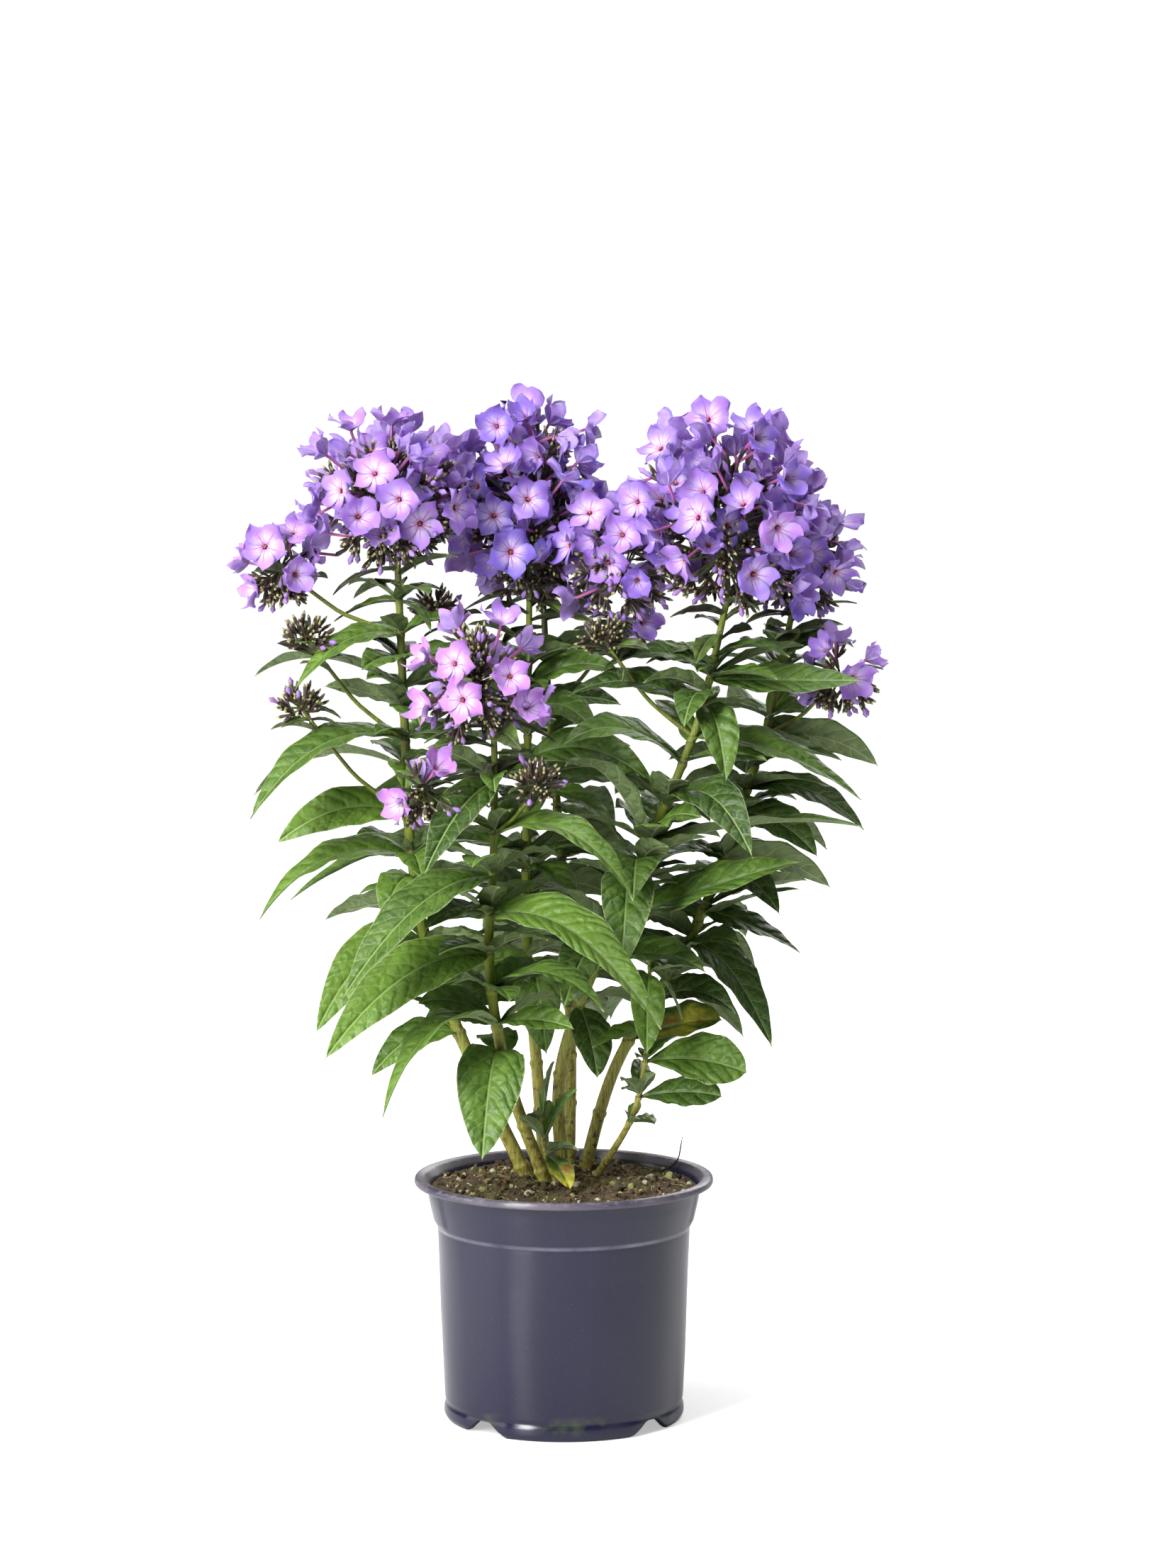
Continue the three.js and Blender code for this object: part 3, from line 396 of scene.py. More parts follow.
# ---- soil ----
# Peat compost with bark, moss and white grit, filled to just under the rim and heaped a little round
# the stems. The lumps, fibres and twigs lie loose on it.
SOIL_EDGE = 148
SOIL_CROWN = 152
GAP = 0.3
SOIL_RINGS = 46
SOIL_SIDES = 150
HEAP_RADIUS = 48
SLOPE_WIDTH = 36
RIPPLE_LENGTH = 34
RIPPLE_RISE = 1.5
CRUMBS = 1350
FIBRES = 90
FIBRE_SPREAD = 78
TWIGS = [[(58, 30, 151), (62, 33, 151), (66, 36, 152), (69, 39, 153), (72, 42, 156)],
         [(69, 38, 152), (72, 39, 155), (74, 40, 160), (75, 41, 166), (76, 41, 172)]]


def chance(n):
    """The n-th draw of a fixed sequence, from 0 to 1: the fractional part of a large multiple of a sine."""
    wave = np.sin(np.asarray(n, float) * 12.9898 + 4.137) * 43758.5453
    return wave - np.floor(wave)


def chances(n, steps):
    """For each number, the draws at these steps after it, side by side in a last axis."""
    return np.stack([chance(n + step) for step in steps], -1)


def ripple(x, y, seed, longest, waves=9):
    """Rough ground from -1 to 1: a sum of sines in drawn directions, each shorter than the last."""
    total = 0
    for k in range(waves):
        length = longest * 0.74 ** k
        angle = 2 * math.pi * chance(seed + k)
        phase = 2 * math.pi * chance(seed + k + 50)
        total = total + np.sin((x * math.cos(angle) + y * math.sin(angle)) * 2 * math.pi / length + phase)
    return total / math.sqrt(waves) / 1.4


def soil_height(x, y):
    """It falls by 1 mm over the heap and then slopes to the edge, with the ripple of lumps on it."""
    r = np.hypot(x, y)
    heap = np.clip(r / HEAP_RADIUS, 0, 1)
    slope = (SOIL_CROWN - 1 - SOIL_EDGE) * np.clip((r - HEAP_RADIUS) / SLOPE_WIDTH, 0, 1)
    flatter = 1 - 0.6 * smooth_step(r, HEAP_RADIUS + 28, HEAP_RADIUS + SLOPE_WIDTH)
    return SOIL_CROWN - heap - slope + ripple(x, y, 3, RIPPLE_LENGTH) * RIPPLE_RISE * flatter


def in_threes(shape, *values):
    """Three values for each point of a grid of this shape, side by side in a last axis."""
    return np.stack([np.broadcast_to(value, shape) for value in values], -1)


soil_radii = np.linspace(0.05, COLLAR_TOP_RADIUS - WALL - GAP - 0.6, SOIL_RINGS)
soil_turns = np.linspace(0, 2 * math.pi, SOIL_SIDES, endpoint=False)
soil_top = on_circle(soil_radii[:, None], soil_turns, 0.0)
soil_top[..., 2] = soil_height(soil_top[..., 0], soil_top[..., 1])
wall_rings = [(COLLAR_FOOT_RADIUS - WALL - 1.4 - GAP, STEP_HEIGHT + 1),
              (BODY_FOOT_RADIUS - WALL - GAP, FOOT_HEIGHT + 1.6)]
soil_wall = np.stack([on_circle(r, soil_turns, z) for r, z in wall_rings])
soil_points = np.concatenate([soil_top, soil_wall])[::-1]
soil_tone = in_threes(soil_points.shape[:-1], 0.25, 0, 0)
soil = new_piece("potting_soil", soil_points, ring_faces(len(soil_points), SOIL_SIDES), {"tone": soil_tone})


def unit(vectors):
    """The same directions with length 1."""
    return vectors / np.linalg.norm(vectors, axis=-1, keepdims=True)


def turned(first, second, angle):
    """The direction at an angle from one vector towards another: cos and sin times the two."""
    return first * np.cos(angle) + second * np.sin(angle)


def drawn_frames(count, seed):
    """`count` random sets of three unit vectors at right angles, from drawn vectors and cross products."""
    n = seed + np.arange(count) * 5
    first = unit(chances(n, (0, 1, 2)) - 0.5)
    second = unit(np.cross(first, chances(n, (0.5, 1.5, 2.5)) - 0.5))
    return np.stack([first, second, np.cross(first, second)], 1)


def tube(path, radii, sides):
    """Rings of points round one path or many, each ring across the path's direction there. The rings
    start from the axis that lies most across the whole path."""
    path, radii = np.asarray(path, float), np.asarray(radii, float)
    aside = np.eye(3)[np.abs(path[..., -1, :] - path[..., 0, :]).argmin(-1)][..., None, :]
    ahead = unit(np.gradient(path, axis=-2))
    first = unit(aside - ahead * (ahead * aside).sum(-1, keepdims=True))[..., None, :]
    second = np.cross(ahead, first[..., 0, :])[..., None, :]
    angle = np.linspace(0, 2 * math.pi, sides, endpoint=False)[:, None]
    return path[..., None, :] + radii[..., None] * turned(first, second, angle)


def lumps(places, sizes, seed):
    """Rough pebbles: a ball of four rings of five points, stretched and turned at random, its corners
    pushed in and out."""
    level = np.array([-0.85, -0.3, 0.35, 0.9])
    turns = np.radians(np.arange(5) * 72 + np.array([0, 36, 0, 36])[:, None])
    flat = np.sqrt(1 - level ** 2)[:, None]
    ball = on_circle(flat, turns, level[:, None])
    n = np.arange(len(places))[:, None, None]
    push = 0.7 + 0.6 * chance(seed + n * 31 + np.arange(20).reshape(4, 5))
    stretch = 0.55 + 0.9 * chances(seed + np.arange(len(places)) * 3, range(3))
    local = ball * push[..., None] * (stretch * sizes[:, None])[:, None, None]
    return places[:, None, None] + np.einsum("nrki,nij->nrkj", local, drawn_frames(len(places), seed))


n = np.arange(CRUMBS)
crumb_r = (COLLAR_TOP_RADIUS - WALL - 4) * np.sqrt(chance(n + 900))
crumb_turn = 2 * math.pi * chance(n + 5000)
crumb_at = on_circle(crumb_r, crumb_turn, 0.0)
# Most crumbs have a radius of about half a millimetre and a few of over two; grit is a little larger.
crumb_size = 0.5 + 2.1 * chance(n + 9000) ** 4 + 0.35 * (chance(n + 700) > 0.89)
crumb_at[:, 2] = soil_height(crumb_at[:, 0], crumb_at[:, 1]) + 0.35 * crumb_size
crumb_points = lumps(crumb_at, crumb_size, 40)
crumb_points[..., 2] = np.minimum(crumb_points[..., 2], POT_HEIGHT - 0.5)
crumb_tone = in_threes(crumb_points.shape[:-1], chance(n + 700)[:, None, None] ** 0.8, 0, 0)
crumbs = new_piece("soil_crumbs", crumb_points, ring_faces(4, 5, CRUMBS), {"tone": crumb_tone})

n = np.arange(FIBRES)
fibre_r = FIBRE_SPREAD * np.sqrt(chance(n + 0.3))
fibre_turn = 2 * math.pi * chance(n + 40.1)
fibre_way = 2 * math.pi * chance(n + 80.7)
step = np.array([-1, -0.5, 0, 0.5, 1]) * (3 + 7 * chance(n + 3.9) ** 2)[:, None]
bow = 0.25 * step ** 2 / 6 * (chance(n + 7.1) - 0.5)[:, None]
way_x, way_y = np.cos(fibre_way)[:, None], np.sin(fibre_way)[:, None]
fibre_x = (fibre_r * np.cos(fibre_turn))[:, None] + step * way_x - bow * way_y
fibre_y = (fibre_r * np.sin(fibre_turn))[:, None] + step * way_y + bow * way_x
fibre_lift = 0.5 + 1.6 * chance(n + 11.3)[:, None] * np.array([0, 0.6, 1, 0.8, 0.3])
fibre_path = np.stack([fibre_x, fibre_y, soil_height(fibre_x, fibre_y) + fibre_lift], -1)
strand_path = np.concatenate([fibre_path, TWIGS])
strand_radius = np.concatenate([0.18 + 0.22 * chance(n + 17.9), [0.8, 0.5]])
strand_points = tube(strand_path, strand_radius[:, None, None] * np.array([[0.6], [1], [1], [0.9], [0.4]]), 5)
strand_tone = np.append(1.5 + 0.4 * chance(n + 19.7), [2.5, 2.5])[:, None, None]
strand_tone = in_threes(strand_points.shape[:-1], strand_tone, 0, 0)
strands = new_piece("soil_strands", strand_points, ring_faces(5, 5, len(strand_path)), {"tone": strand_tone})

# The tone is under 1 on soil and crumbs, from 1.5 to 1.9 on fibres and 2.5 on twigs.
peat, tree, principled, place_on = shader("peat", {"Roughness": 0.95})
tone = parts_of(tree, attribute(tree, "tone"))["X"]
grain = mottle(tree, place_on, 700, 0.3, 0.7)
patches = mottle(tree, place_on, 120, 0.35, 0.65)
mossy = times(tree, mottle(tree, place_on, 38, 0.5, 0.62), grain)
brown = blend(tree, patches, (0.035, 0.023, 0.012), (0.15, 0.1, 0.055))
straw = blend(tree, mottle(tree, place_on, 300, 0.4, 0.6), (0.22, 0.15, 0.07), (0.5, 0.4, 0.2))
bark_lump = band(tree, tone, 0.55, 0.7)
moss_lump = band(tree, tone, 0.84, 0.87)
grit = band(tree, tone, 0.925, 0.935)
on_fibre = band(tree, tone, 1.2, 1.4)
on_twig = band(tree, tone, 2.0, 2.3)
brown = coats(tree, brown, [
    (grain, 0.5, (0.14, 0.09, 0.05)),
    (mossy, 1, (0.15, 0.16, 0.035)),
    (bark_lump, 0.6, (0.17, 0.09, 0.042)),
    (moss_lump, 1, (0.31, 0.34, 0.11)),
    (grit, 1, (0.56, 0.52, 0.36)),
    (on_fibre, 1, straw),
    (on_twig, 1, (0.05, 0.03, 0.02)),
])
feed(tree, principled, {"Base Color": brown, "Normal": bump(tree, grain, 0.8, 0.0008)})
for piece in (soil, crumbs, strands):
    hand_over(piece, peat, "soil")

# ---- stems ----
# The canes of one crown, woody and ridged at the foot and smooth green above, with a ring at every
# pair of leaves. Thinner stalks branch off to the side sprays.
KNOT_BASE = 145
ROOT_DEPTH = 126
STEM_TAPER = 0.55
STEM_SIDES = 18
LOWEST_RING = 160
RING_SPACING = 30
# For each stem: rise between knots, height of its top, radius at the foot, and the knots (x, y).
# Lengths are in millimetres and angles in degrees.
STEMS = {
    "front": (75, 446, 4.2, [(-10, 1), (-35, -17), (-46, -45), (-43, -55), (-43, -55), (-50, -57)]),
    "left": (75, 552, 4.6, [(-21, 15), (-56, 11), (-85, 6), (-97, 2), (-100, 0), (-103, 1)]),
    "right": (75, 524, 4.4, [(-1, 19), (-2, 12), (22, -1), (54, -13), (84, -15), (102, -8)]),
    "shoot": (50, 296, 2.4, [(17, 17), (44, -4), (53, -10), (54, -11)]),
    "sprig": (30, 202, 2.2, [(-2, -8), (-12, -16), (-14, -18)]),
    "far_right": (75, 520, 4.2, [(11, 33), (34, 38), (79, 49), (109, 55), (132, 52), (147, 42)]),
    "back": (75, 520, 4.2, [(-12, 44), (-18, 50), (-24, 54), (-24, 55), (-23, 52), (-22, 50)]),
    "rear": (75, 528, 4, [(3, 58), (4, 78), (2, 92), (-4, 98), (-10, 100), (-14, 100)]),
}
# For each leaf: node height, azimuth, reach, lift of the tip, arch as a share of its length, half
# width, and the number of its outline.
LEAVES = {
    "front": [
        (236, 260, 70, -55, 0.55, 25, 1), (236, 100, 40, 5, 0.3, 13, 0),
        (255, 230, 115, -40, 0.45, 17, 0), (255, 30, 45, 15, 0.25, 13, 0),
        (279, 320, 90, -5, 0.4, 17, 0), (279, 150, 45, 15, 0.2, 13, 0),
        (303, 215, 120, -55, 0.3, 19, 0), (303, 30, 50, 10, 0.3, 14, 0),
        (328, 320, 135, -60, 0.35, 21, 0), (328, 140, 50, 10, 0.3, 14, 0),
        (353, 225, 120, -65, 0.3, 19, 0), (353, 40, 50, 10, 0.3, 14, 0),
        (379, 325, 105, -30, 0.4, 17, 0), (379, 150, 60, 10, 0.3, 14, 0),
        (412, 235, 70, -50, 0.25, 14, 0), (412, 60, 40, 10, 0.3, 12, 0),
    ],
    "left": [
        (245, 200, 60, -25, 0.35, 13, 0), (272, 110, 75, -15, 0.3, 15, 0),
        (272, 275, 40, -10, 0.3, 12, 0), (302, 215, 85, -50, 0.45, 18, 0),
        (302, 10, 40, 0, 0.3, 14, 0), (330, 155, 65, -15, 0.1, 14, 0),
        (330, 90, 75, -10, 0.3, 15, 0), (345, 250, 55, -20, 0.3, 14, 0),
        (358, 185, 100, -35, 0.35, 18, 0), (358, 280, 45, -10, 0.3, 13, 0),
        (385, 200, 85, -15, 0.3, 15, 0), (385, 30, 60, 0, 0.3, 14, 0),
        (415, 155, 110, -20, 0.3, 15, 0), (415, 275, 50, -10, 0.3, 14, 0),
        (432, 215, 120, -40, 0.35, 17, 0), (432, 50, 60, 0, 0.3, 14, 0),
        (450, 285, 45, -5, 0.3, 13, 0), (465, 160, 105, 10, 0.25, 15, 0),
        (465, 10, 50, 0, 0.3, 13, 0), (482, 100, 60, 0, 0.3, 13, 0),
        (499, 215, 80, -30, 0.3, 13, 0), (499, 340, 50, 5, 0.3, 12, 0),
        (520, 300, 45, 5, 0.3, 11, 0), (520, 150, 40, 10, 0.3, 9, 0),
    ],
    "right": [
        (262, 290, 35, -40, 0.3, 17, 1), (262, 40, 50, -5, 0.3, 14, 0),
        (285, 335, 80, 5, 0.3, 18, 0), (285, 170, 45, 0, 0.3, 14, 0),
        (298, 255, 70, -25, 0.4, 16, 0), (306, 225, 55, 35, 0.4, 15, 0),
        (315, 345, 120, 45, 0.05, 21, 0), (325, 60, 60, -5, 0.3, 14, 0),
        (340, 270, 80, -40, 0.6, 20, 1), (340, 95, 60, 0, 0.3, 15, 0),
        (355, 265, 60, -15, 0.4, 15, 0), (367, 0, 135, 15, 0.1, 15, 0),
        (367, 220, 65, 55, 0.45, 17, 0), (380, 60, 65, -5, 0.3, 14, 0),
        (393, 310, 85, -25, 0.5, 17, 0), (393, 140, 40, 5, 0.4, 14, 0),
        (419, 200, 80, 15, 0.4, 17, 0), (432, 75, 60, 0, 0.3, 13, 0),
        (436, 355, 105, -40, 0.2, 19, 0), (453, 290, 50, -40, 0.5, 15, 1),
        (453, 185, 85, 10, 0.3, 15, 0), (462, 250, 50, -15, 0.35, 13, 0),
        (472, 355, 95, 0, 0, 18, 0), (478, 185, 70, 0, 0.3, 14, 0),
        (486, 335, 50, 0, 0.3, 11, 0),
    ],
    "shoot": [
        (190, 340, 17, 0, 0.1, 12, 2), (206, 340, 55, 5, 0.1, 14, 2),
        (229, 355, 65, -5, 0.15, 19, 2), (251, 205, 40, -10, 0.1, 11, 0),
        (285, 265, 35, -45, 0.35, 13, 1), (290, 335, 24, -35, 0.3, 11, 0),
    ],
    "sprig": [
        (170, 290, 40, -15, 0.25, 7.5, 2), (172, 315, 30, -16, 0.35, 8.5, 1),
        (180, 335, 22, 35, 0.15, 8, 0), (195, 50, 10, 35, 0.2, 8, 0),
        (195, 175, 14, 0, 0.2, 7, 0),
    ],
    "far_right": [
        (235, 350, 60, 15, 0.1, 17, 2), (258, 325, 65, 0, 0.35, 14, 0),
        (258, 110, 75, -20, 0.35, 15, 0), (272, 5, 50, -35, 0.3, 13, 0),
        (290, 185, 50, -5, 0.3, 14, 0), (298, 330, 60, -65, 0.35, 17, 0),
        (298, 20, 55, -30, 0.3, 14, 0), (310, 60, 70, -20, 0.35, 15, 0),
        (318, 340, 65, -25, 0.1, 13, 0), (318, 130, 80, -25, 0.35, 15, 0),
        (335, 310, 65, -15, 0.4, 14, 0), (335, 80, 85, -20, 0.35, 17, 0),
        (350, 5, 70, -20, 0.25, 15, 0), (350, 195, 45, 0, 0.3, 14, 0),
        (365, 30, 75, -15, 0.35, 16, 0), (380, 340, 55, -25, 0.25, 15, 0),
        (380, 110, 90, -10, 0.35, 17, 0), (395, 345, 75, -25, 0.35, 15, 0),
        (395, 170, 45, 0, 0.3, 13, 0), (410, 60, 85, 0, 0.3, 17, 0),
        (410, 255, 40, 0, 0.3, 13, 0), (425, 10, 75, -15, 0.3, 15, 0),
        (425, 190, 40, 0, 0.3, 12, 0), (440, 10, 55, -25, 0, 14, 0),
        (440, 110, 80, 0, 0.3, 15, 0), (458, 300, 50, -10, 0.35, 13, 0),
        (470, 55, 55, 0, 0.3, 13, 0), (484, 355, 45, 5, 0.3, 11, 0),
    ],
    "back": [
        (262, 190, 75, -20, 0.35, 17, 0), (262, 60, 45, -5, 0.3, 13, 0),
        (285, 295, 45, -55, 0.4, 20, 1), (300, 110, 75, -30, 0.4, 18, 0),
        (315, 325, 80, -30, 0.4, 16, 0), (328, 185, 90, -25, 0.35, 18, 0),
        (328, 10, 60, -5, 0.3, 15, 0), (342, 300, 60, -20, 0.4, 15, 0),
        (355, 195, 155, -25, 0.25, 19, 0), (355, 20, 75, -10, 0.3, 17, 0),
        (377, 95, 85, -20, 0.35, 18, 0), (377, 280, 40, 0, 0.3, 13, 0),
        (388, 320, 75, -20, 0.4, 15, 0), (400, 200, 125, -20, 0.3, 18, 0),
        (400, 10, 80, -5, 0.3, 17, 0), (415, 340, 85, -15, 0.35, 15, 0),
        (430, 105, 80, -5, 0.35, 17, 0), (430, 285, 45, 10, 0.3, 13, 0),
        (445, 315, 65, -10, 0.35, 14, 0), (462, 190, 80, 10, 0.3, 14, 0),
        (462, 350, 60, 10, 0.3, 14, 0), (475, 35, 60, 5, 0.3, 13, 0),
        (475, 245, 55, 0, 0.3, 12, 0),
    ],
    "rear": [
        (250, 60, 50, -20, 0.35, 17, 0), (265, 0, 60, -20, 0.35, 14, 0),
        (282, 150, 65, -25, 0.35, 18, 0), (282, 350, 60, -10, 0.3, 15, 0),
        (314, 70, 45, -25, 0.35, 18, 0), (314, 230, 35, 0, 0.3, 13, 0),
        (330, 320, 55, -10, 0.35, 14, 0), (346, 140, 60, -20, 0.35, 18, 0),
        (346, 10, 70, -10, 0.3, 15, 0), (378, 50, 55, -20, 0.35, 18, 0),
        (394, 350, 65, -10, 0.3, 14, 0), (410, 120, 45, -15, 0.35, 17, 0),
        (410, 330, 50, 0, 0.3, 13, 0), (426, 95, 40, -5, 0.3, 13, 0),
        (442, 65, 45, -5, 0.3, 15, 0), (442, 170, 50, 5, 0.3, 13, 0),
        (472, 110, 40, 5, 0.3, 13, 0), (472, 350, 50, 5, 0.3, 12, 0),
    ],
}
# For each side spray: stem, node height, tip, radii of its tuft, florets, seed.
SPRAYS = [
    ("left", 499, (-176, -8, 541), (20, 20, 25), 8, 12),
    ("left", 432, (-160, -16, 497), (23, 20, 17), 0, 13),
    ("left", 385, (-163, -28, 455), (23, 18, 16), 0, 14),
    ("front", 379, (-16, -78, 412), (20, 20, 18), 0, 61),
    ("front", 385, (-86, -78, 410), (20, 20, 20), 3, 62),
    ("right", 436, (25, -22, 497), (22, 20, 17), 0, 42),
    ("far_right", 430, (174, 14, 472), (22, 20, 24), 7, 52),
    ("back", 462, (-82, 22, 512), (20, 18, 16), 0, 22),
    ("rear", 442, (36, 102, 500), (22, 20, 20), 4, 32),
]
SPRAY_RADII = (1.5, 1.3, 1.2)
SPRAY_SAG = 0.12


def stem_points(name, heights):
    """A Catmull-Rom curve through the stem's knots, found by height."""
    rise, top, base, places = STEMS[name]
    knots = np.array([(x, y, KNOT_BASE + rise * i) for i, (x, y) in enumerate(places)], float)
    knots = np.concatenate([[2 * knots[0] - knots[1]], knots, [2 * knots[-1] - knots[-2]]])
    u = (np.atleast_1d(np.asarray(heights, float)) - KNOT_BASE) / rise
    i = np.clip(np.floor(u).astype(int), 0, len(places) - 2)
    t = (u - i)[:, None]
    return (knots[i] * (-t + 2 * t ** 2 - t ** 3) + knots[i + 1] * (2 - 5 * t ** 2 + 3 * t ** 3)
            + knots[i + 2] * (t + 4 * t ** 2 - 3 * t ** 3) + knots[i + 3] * (-t ** 2 + t ** 3)) / 2


def joined(skins):
    """Closed skins, each one grid or many, as one: their points end to end, and their faces
    renumbered to match."""
    points, faces, start = [], [], 0
    for skin in skins:
        *copies, rows, ring = skin.shape[:-1]
        faces += [[c + start for c in face] for face in ring_faces(rows, ring, math.prod(copies))]
        points.append(skin.reshape(-1, 3))
        start += len(points[-1])
    return np.concatenate(points), faces


def cane(name):
    """A stem as a tube. Its radius tapers from the foot, and swells over 3 mm to a ring at each node,
    with a narrow waist just above; ridges run up the woody foot."""
    rise, top, base, places = STEMS[name]
    nodes = sorted({row[0] for row in LEAVES[name]})
    nodes += list(np.arange(LOWEST_RING, nodes[0] - 15, RING_SPACING) + 8 * (chance(base * 9) - 0.5))
    # The rings of points lie closer round each node than the 4 mm between the others.
    around = np.array(nodes)[:, None] + [-3.2, -1.6, -0.5, 0.3, 1.0, 2.2]
    heights = np.unique(np.concatenate([np.arange(ROOT_DEPTH, top, 4.0), around.ravel()]))
    heights = heights[heights < top]
    radii = base * (1 - STEM_TAPER * np.clip((heights - KNOT_BASE) / (top - KNOT_BASE), 0, 1))
    for z in nodes:
        swell = np.exp(-((heights - z + 0.6) / 1.9) ** 2) - 0.45 * np.exp(-((heights - z - 1.6) / 0.9) ** 2)
        radii = radii * (1 + 0.2 * swell)
    turn = np.linspace(0, 2 * math.pi, STEM_SIDES, endpoint=False)
    woody = 1 - smooth_step(heights, 200, 300)
    ridges = np.sin(5 * turn + 1) * 0.035 + np.sin(8 * turn + heights[:, None] / 30) * 0.025
    return tube(stem_points(name, heights), radii[:, None] * (1 + ridges * woody[:, None]), STEM_SIDES)


def spray_corners(spray):
    """Where a side stalk starts, its sagging middle, and its tip."""
    name, height, tip = spray[:3]
    root, tip = stem_points(name, height)[0], np.array(tip, float)
    return root, (root + tip) / 2 - (0, 0, SPRAY_SAG * np.linalg.norm(root - tip)), tip


def spray_line(spray, steps=14):
    """A side stalk: half way between a curve and two straight lines through its corners."""
    root, elbow, tip = spray_corners(spray)
    t = np.linspace(0, 1, steps)[:, None]
    corner = np.where(t < 0.5, root + (elbow - root) * 2 * t, elbow + (tip - elbow) * (2 * t - 1))
    return 0.5 * arc(root, elbow, tip, t) + 0.5 * corner


bark, tree, principled, place_on = shader("stem_skin", {"Roughness": 0.55})
height = parts_of(tree, place_on)["Z"]
fibre = node(tree, "Mapping", Vector=place_on, Scale=(1, 1, 0.07)).outputs["Vector"]
lines = mottle(tree, fibre, 900, 0.35, 0.65)
flushed = times(tree, band(tree, height, 0.38, 0.46), mottle(tree, place_on, 25, 0.45, 0.6))
green = blend(tree, mottle(tree, place_on, 70, 0.3, 0.7), (0.16, 0.225, 0.014), (0.28, 0.34, 0.035))
green = coats(tree, green, [(lines, 0.35, (0.09, 0.125, 0.02)), (flushed, 0.55, (0.1, 0.045, 0.05))])
wood = blend(tree, lines, (0.22, 0.19, 0.03), (0.5, 0.47, 0.095))
wood = blend(tree, mottle(tree, place_on, 240, 0.58, 0.68), wood, (0.12, 0.075, 0.035))
cloudy = times(tree, mottle(tree, place_on, 50, 0.3, 0.7), 0.25)
skin_mix = math_node(tree, "ADD", band(tree, height, 0.29, 0.19), cloudy)
woody = times(tree, band(tree, height, 0.30, 0.26), skin_mix)
ringed = parts_of(tree, attribute(tree, "ring"))["X"]
skin_colour = coats(tree, green, [(woody, 1, wood), (ringed, 1, (0.055, 0.03, 0.018))])
feed(tree, principled, {"Base Color": skin_colour, "Normal": bump(tree, lines, 0.5, 0.0005)})

for name in STEMS:
    skins = [cane(name)]
    for spray in SPRAYS:
        if spray[0] == name:
            line = spray_line(spray)
            radii = np.interp(np.linspace(0, 2, len(line)), [0, 1, 2], SPRAY_RADII)
            skins.append(tube(line, radii[:, None], 8))
    points, faces = joined(skins)
    nearest = np.array(sorted({row[0] for row in LEAVES[name]}), float)
    gap = np.abs(points[:, 2:3] - nearest[None] - 0.4).min(1)
    ring = in_threes(len(points), 0.8 * np.exp(-(gap / 0.55) ** 2), 0, 0)
    stalk = new_piece("stalk_" + name, points, faces, {"ring": ring})
    hand_over(stalk, bark, "stem_" + name)

# ---- spacing ----
# On the living plant leaves and florets turn until they have room. Here each is tested against the
# points of what has already grown, in the same order each time.
CLEARANCE = 3.4
OWN_CLEARANCE = 2.4
MOST_GROWN = 4000
grown_points = []
grown_spheres = np.zeros((MOST_GROWN, 4))


def sphere_round(points):
    """The centre of some points, and how far the furthest of them is from it."""
    centre = points.mean(0)
    return centre, np.linalg.norm(points - centre, axis=1).max()


def place(owner, points, reach, blades=None):
    """Notes the points of something grown; `blades` are those that also keep clear of their own kin."""
    centre, radius = sphere_round(points)
    grown_spheres[len(grown_points)] = (*centre, radius + reach)
    grown_points.append((owner, points, reach, np.zeros((0, 3)) if blades is None else blades))


def is_clear(owner, points, blades):
    """True if all points are further from those of other owners than their reach, and the blades
    further from the owner's own blades than OWN_CLEARANCE."""
    centre, radius = sphere_round(points)
    spheres = grown_spheres[:len(grown_points)]
    near = np.linalg.norm(spheres[:, :3] - centre, axis=1) <= radius + spheres[:, 3]
    for k in np.flatnonzero(near):
        other, theirs, reach, their_blades = grown_points[k]
        mine = points
        if other == owner:
            mine, theirs, reach = blades, their_blades, OWN_CLEARANCE
        if len(theirs) and (((mine[:, None] - theirs[None]) ** 2).sum(-1) <= reach ** 2).any():
            return False
    return True


def settle(owner, points, blades):
    """True, with the points noted, if they are clear of what has grown."""
    clear = is_clear(owner, points, blades)
    if clear:
        place(owner, points, CLEARANCE, blades)
    return clear


for name, (rise, top, base, places) in STEMS.items():
    place(name, stem_points(name, np.arange(KNOT_BASE, top + 0.001, 4.0)), CLEARANCE + base * 0.7)

# ---- flower heads: where the buds and florets grow ----
# Each head is one or two domes, and each side spray a small tuft. Buds stand below the florets, and
# the florets cover the rest, facing outwards and a little up.
CORE_SHARE = 0.46
TUFT_SHARE = 0.24
LOWEST_FLORET = -0.6
LOWEST_BUD = -0.97
FLORET_RADIUS = 13.5
FLORET_RANGE = 0.16
DEPTH_STEP = 0.07
MOST_SHIFTS = 7
MERGED = 0.95
FACE_SAMPLES = 25
GOLDEN_ANGLE = math.pi * (3 - math.sqrt(5))
# For each dome: centre, radii, florets, detail of its core, seed.
HEADS = {
    "front": [((-53, -62, 474), (38, 34, 35), 14, 0, 60)],
    "left": [((-107, 2, 582), (48, 48, 48), 37, 1, 11)],
    "right": [((101, -6, 567), (55, 53, 62), 45, 1, 41), ((36, 12, 545), (36, 34, 38), 16, 0, 43)],
    "far_right": [((148, 40, 545), (36, 36, 40), 21, 0, 51)],
    "back": [((-21, 50, 572), (43, 43, 66), 43, 1, 21)],
    "rear": [((-16, 100, 560), (36, 30, 42), 21, 0, 31)],
}


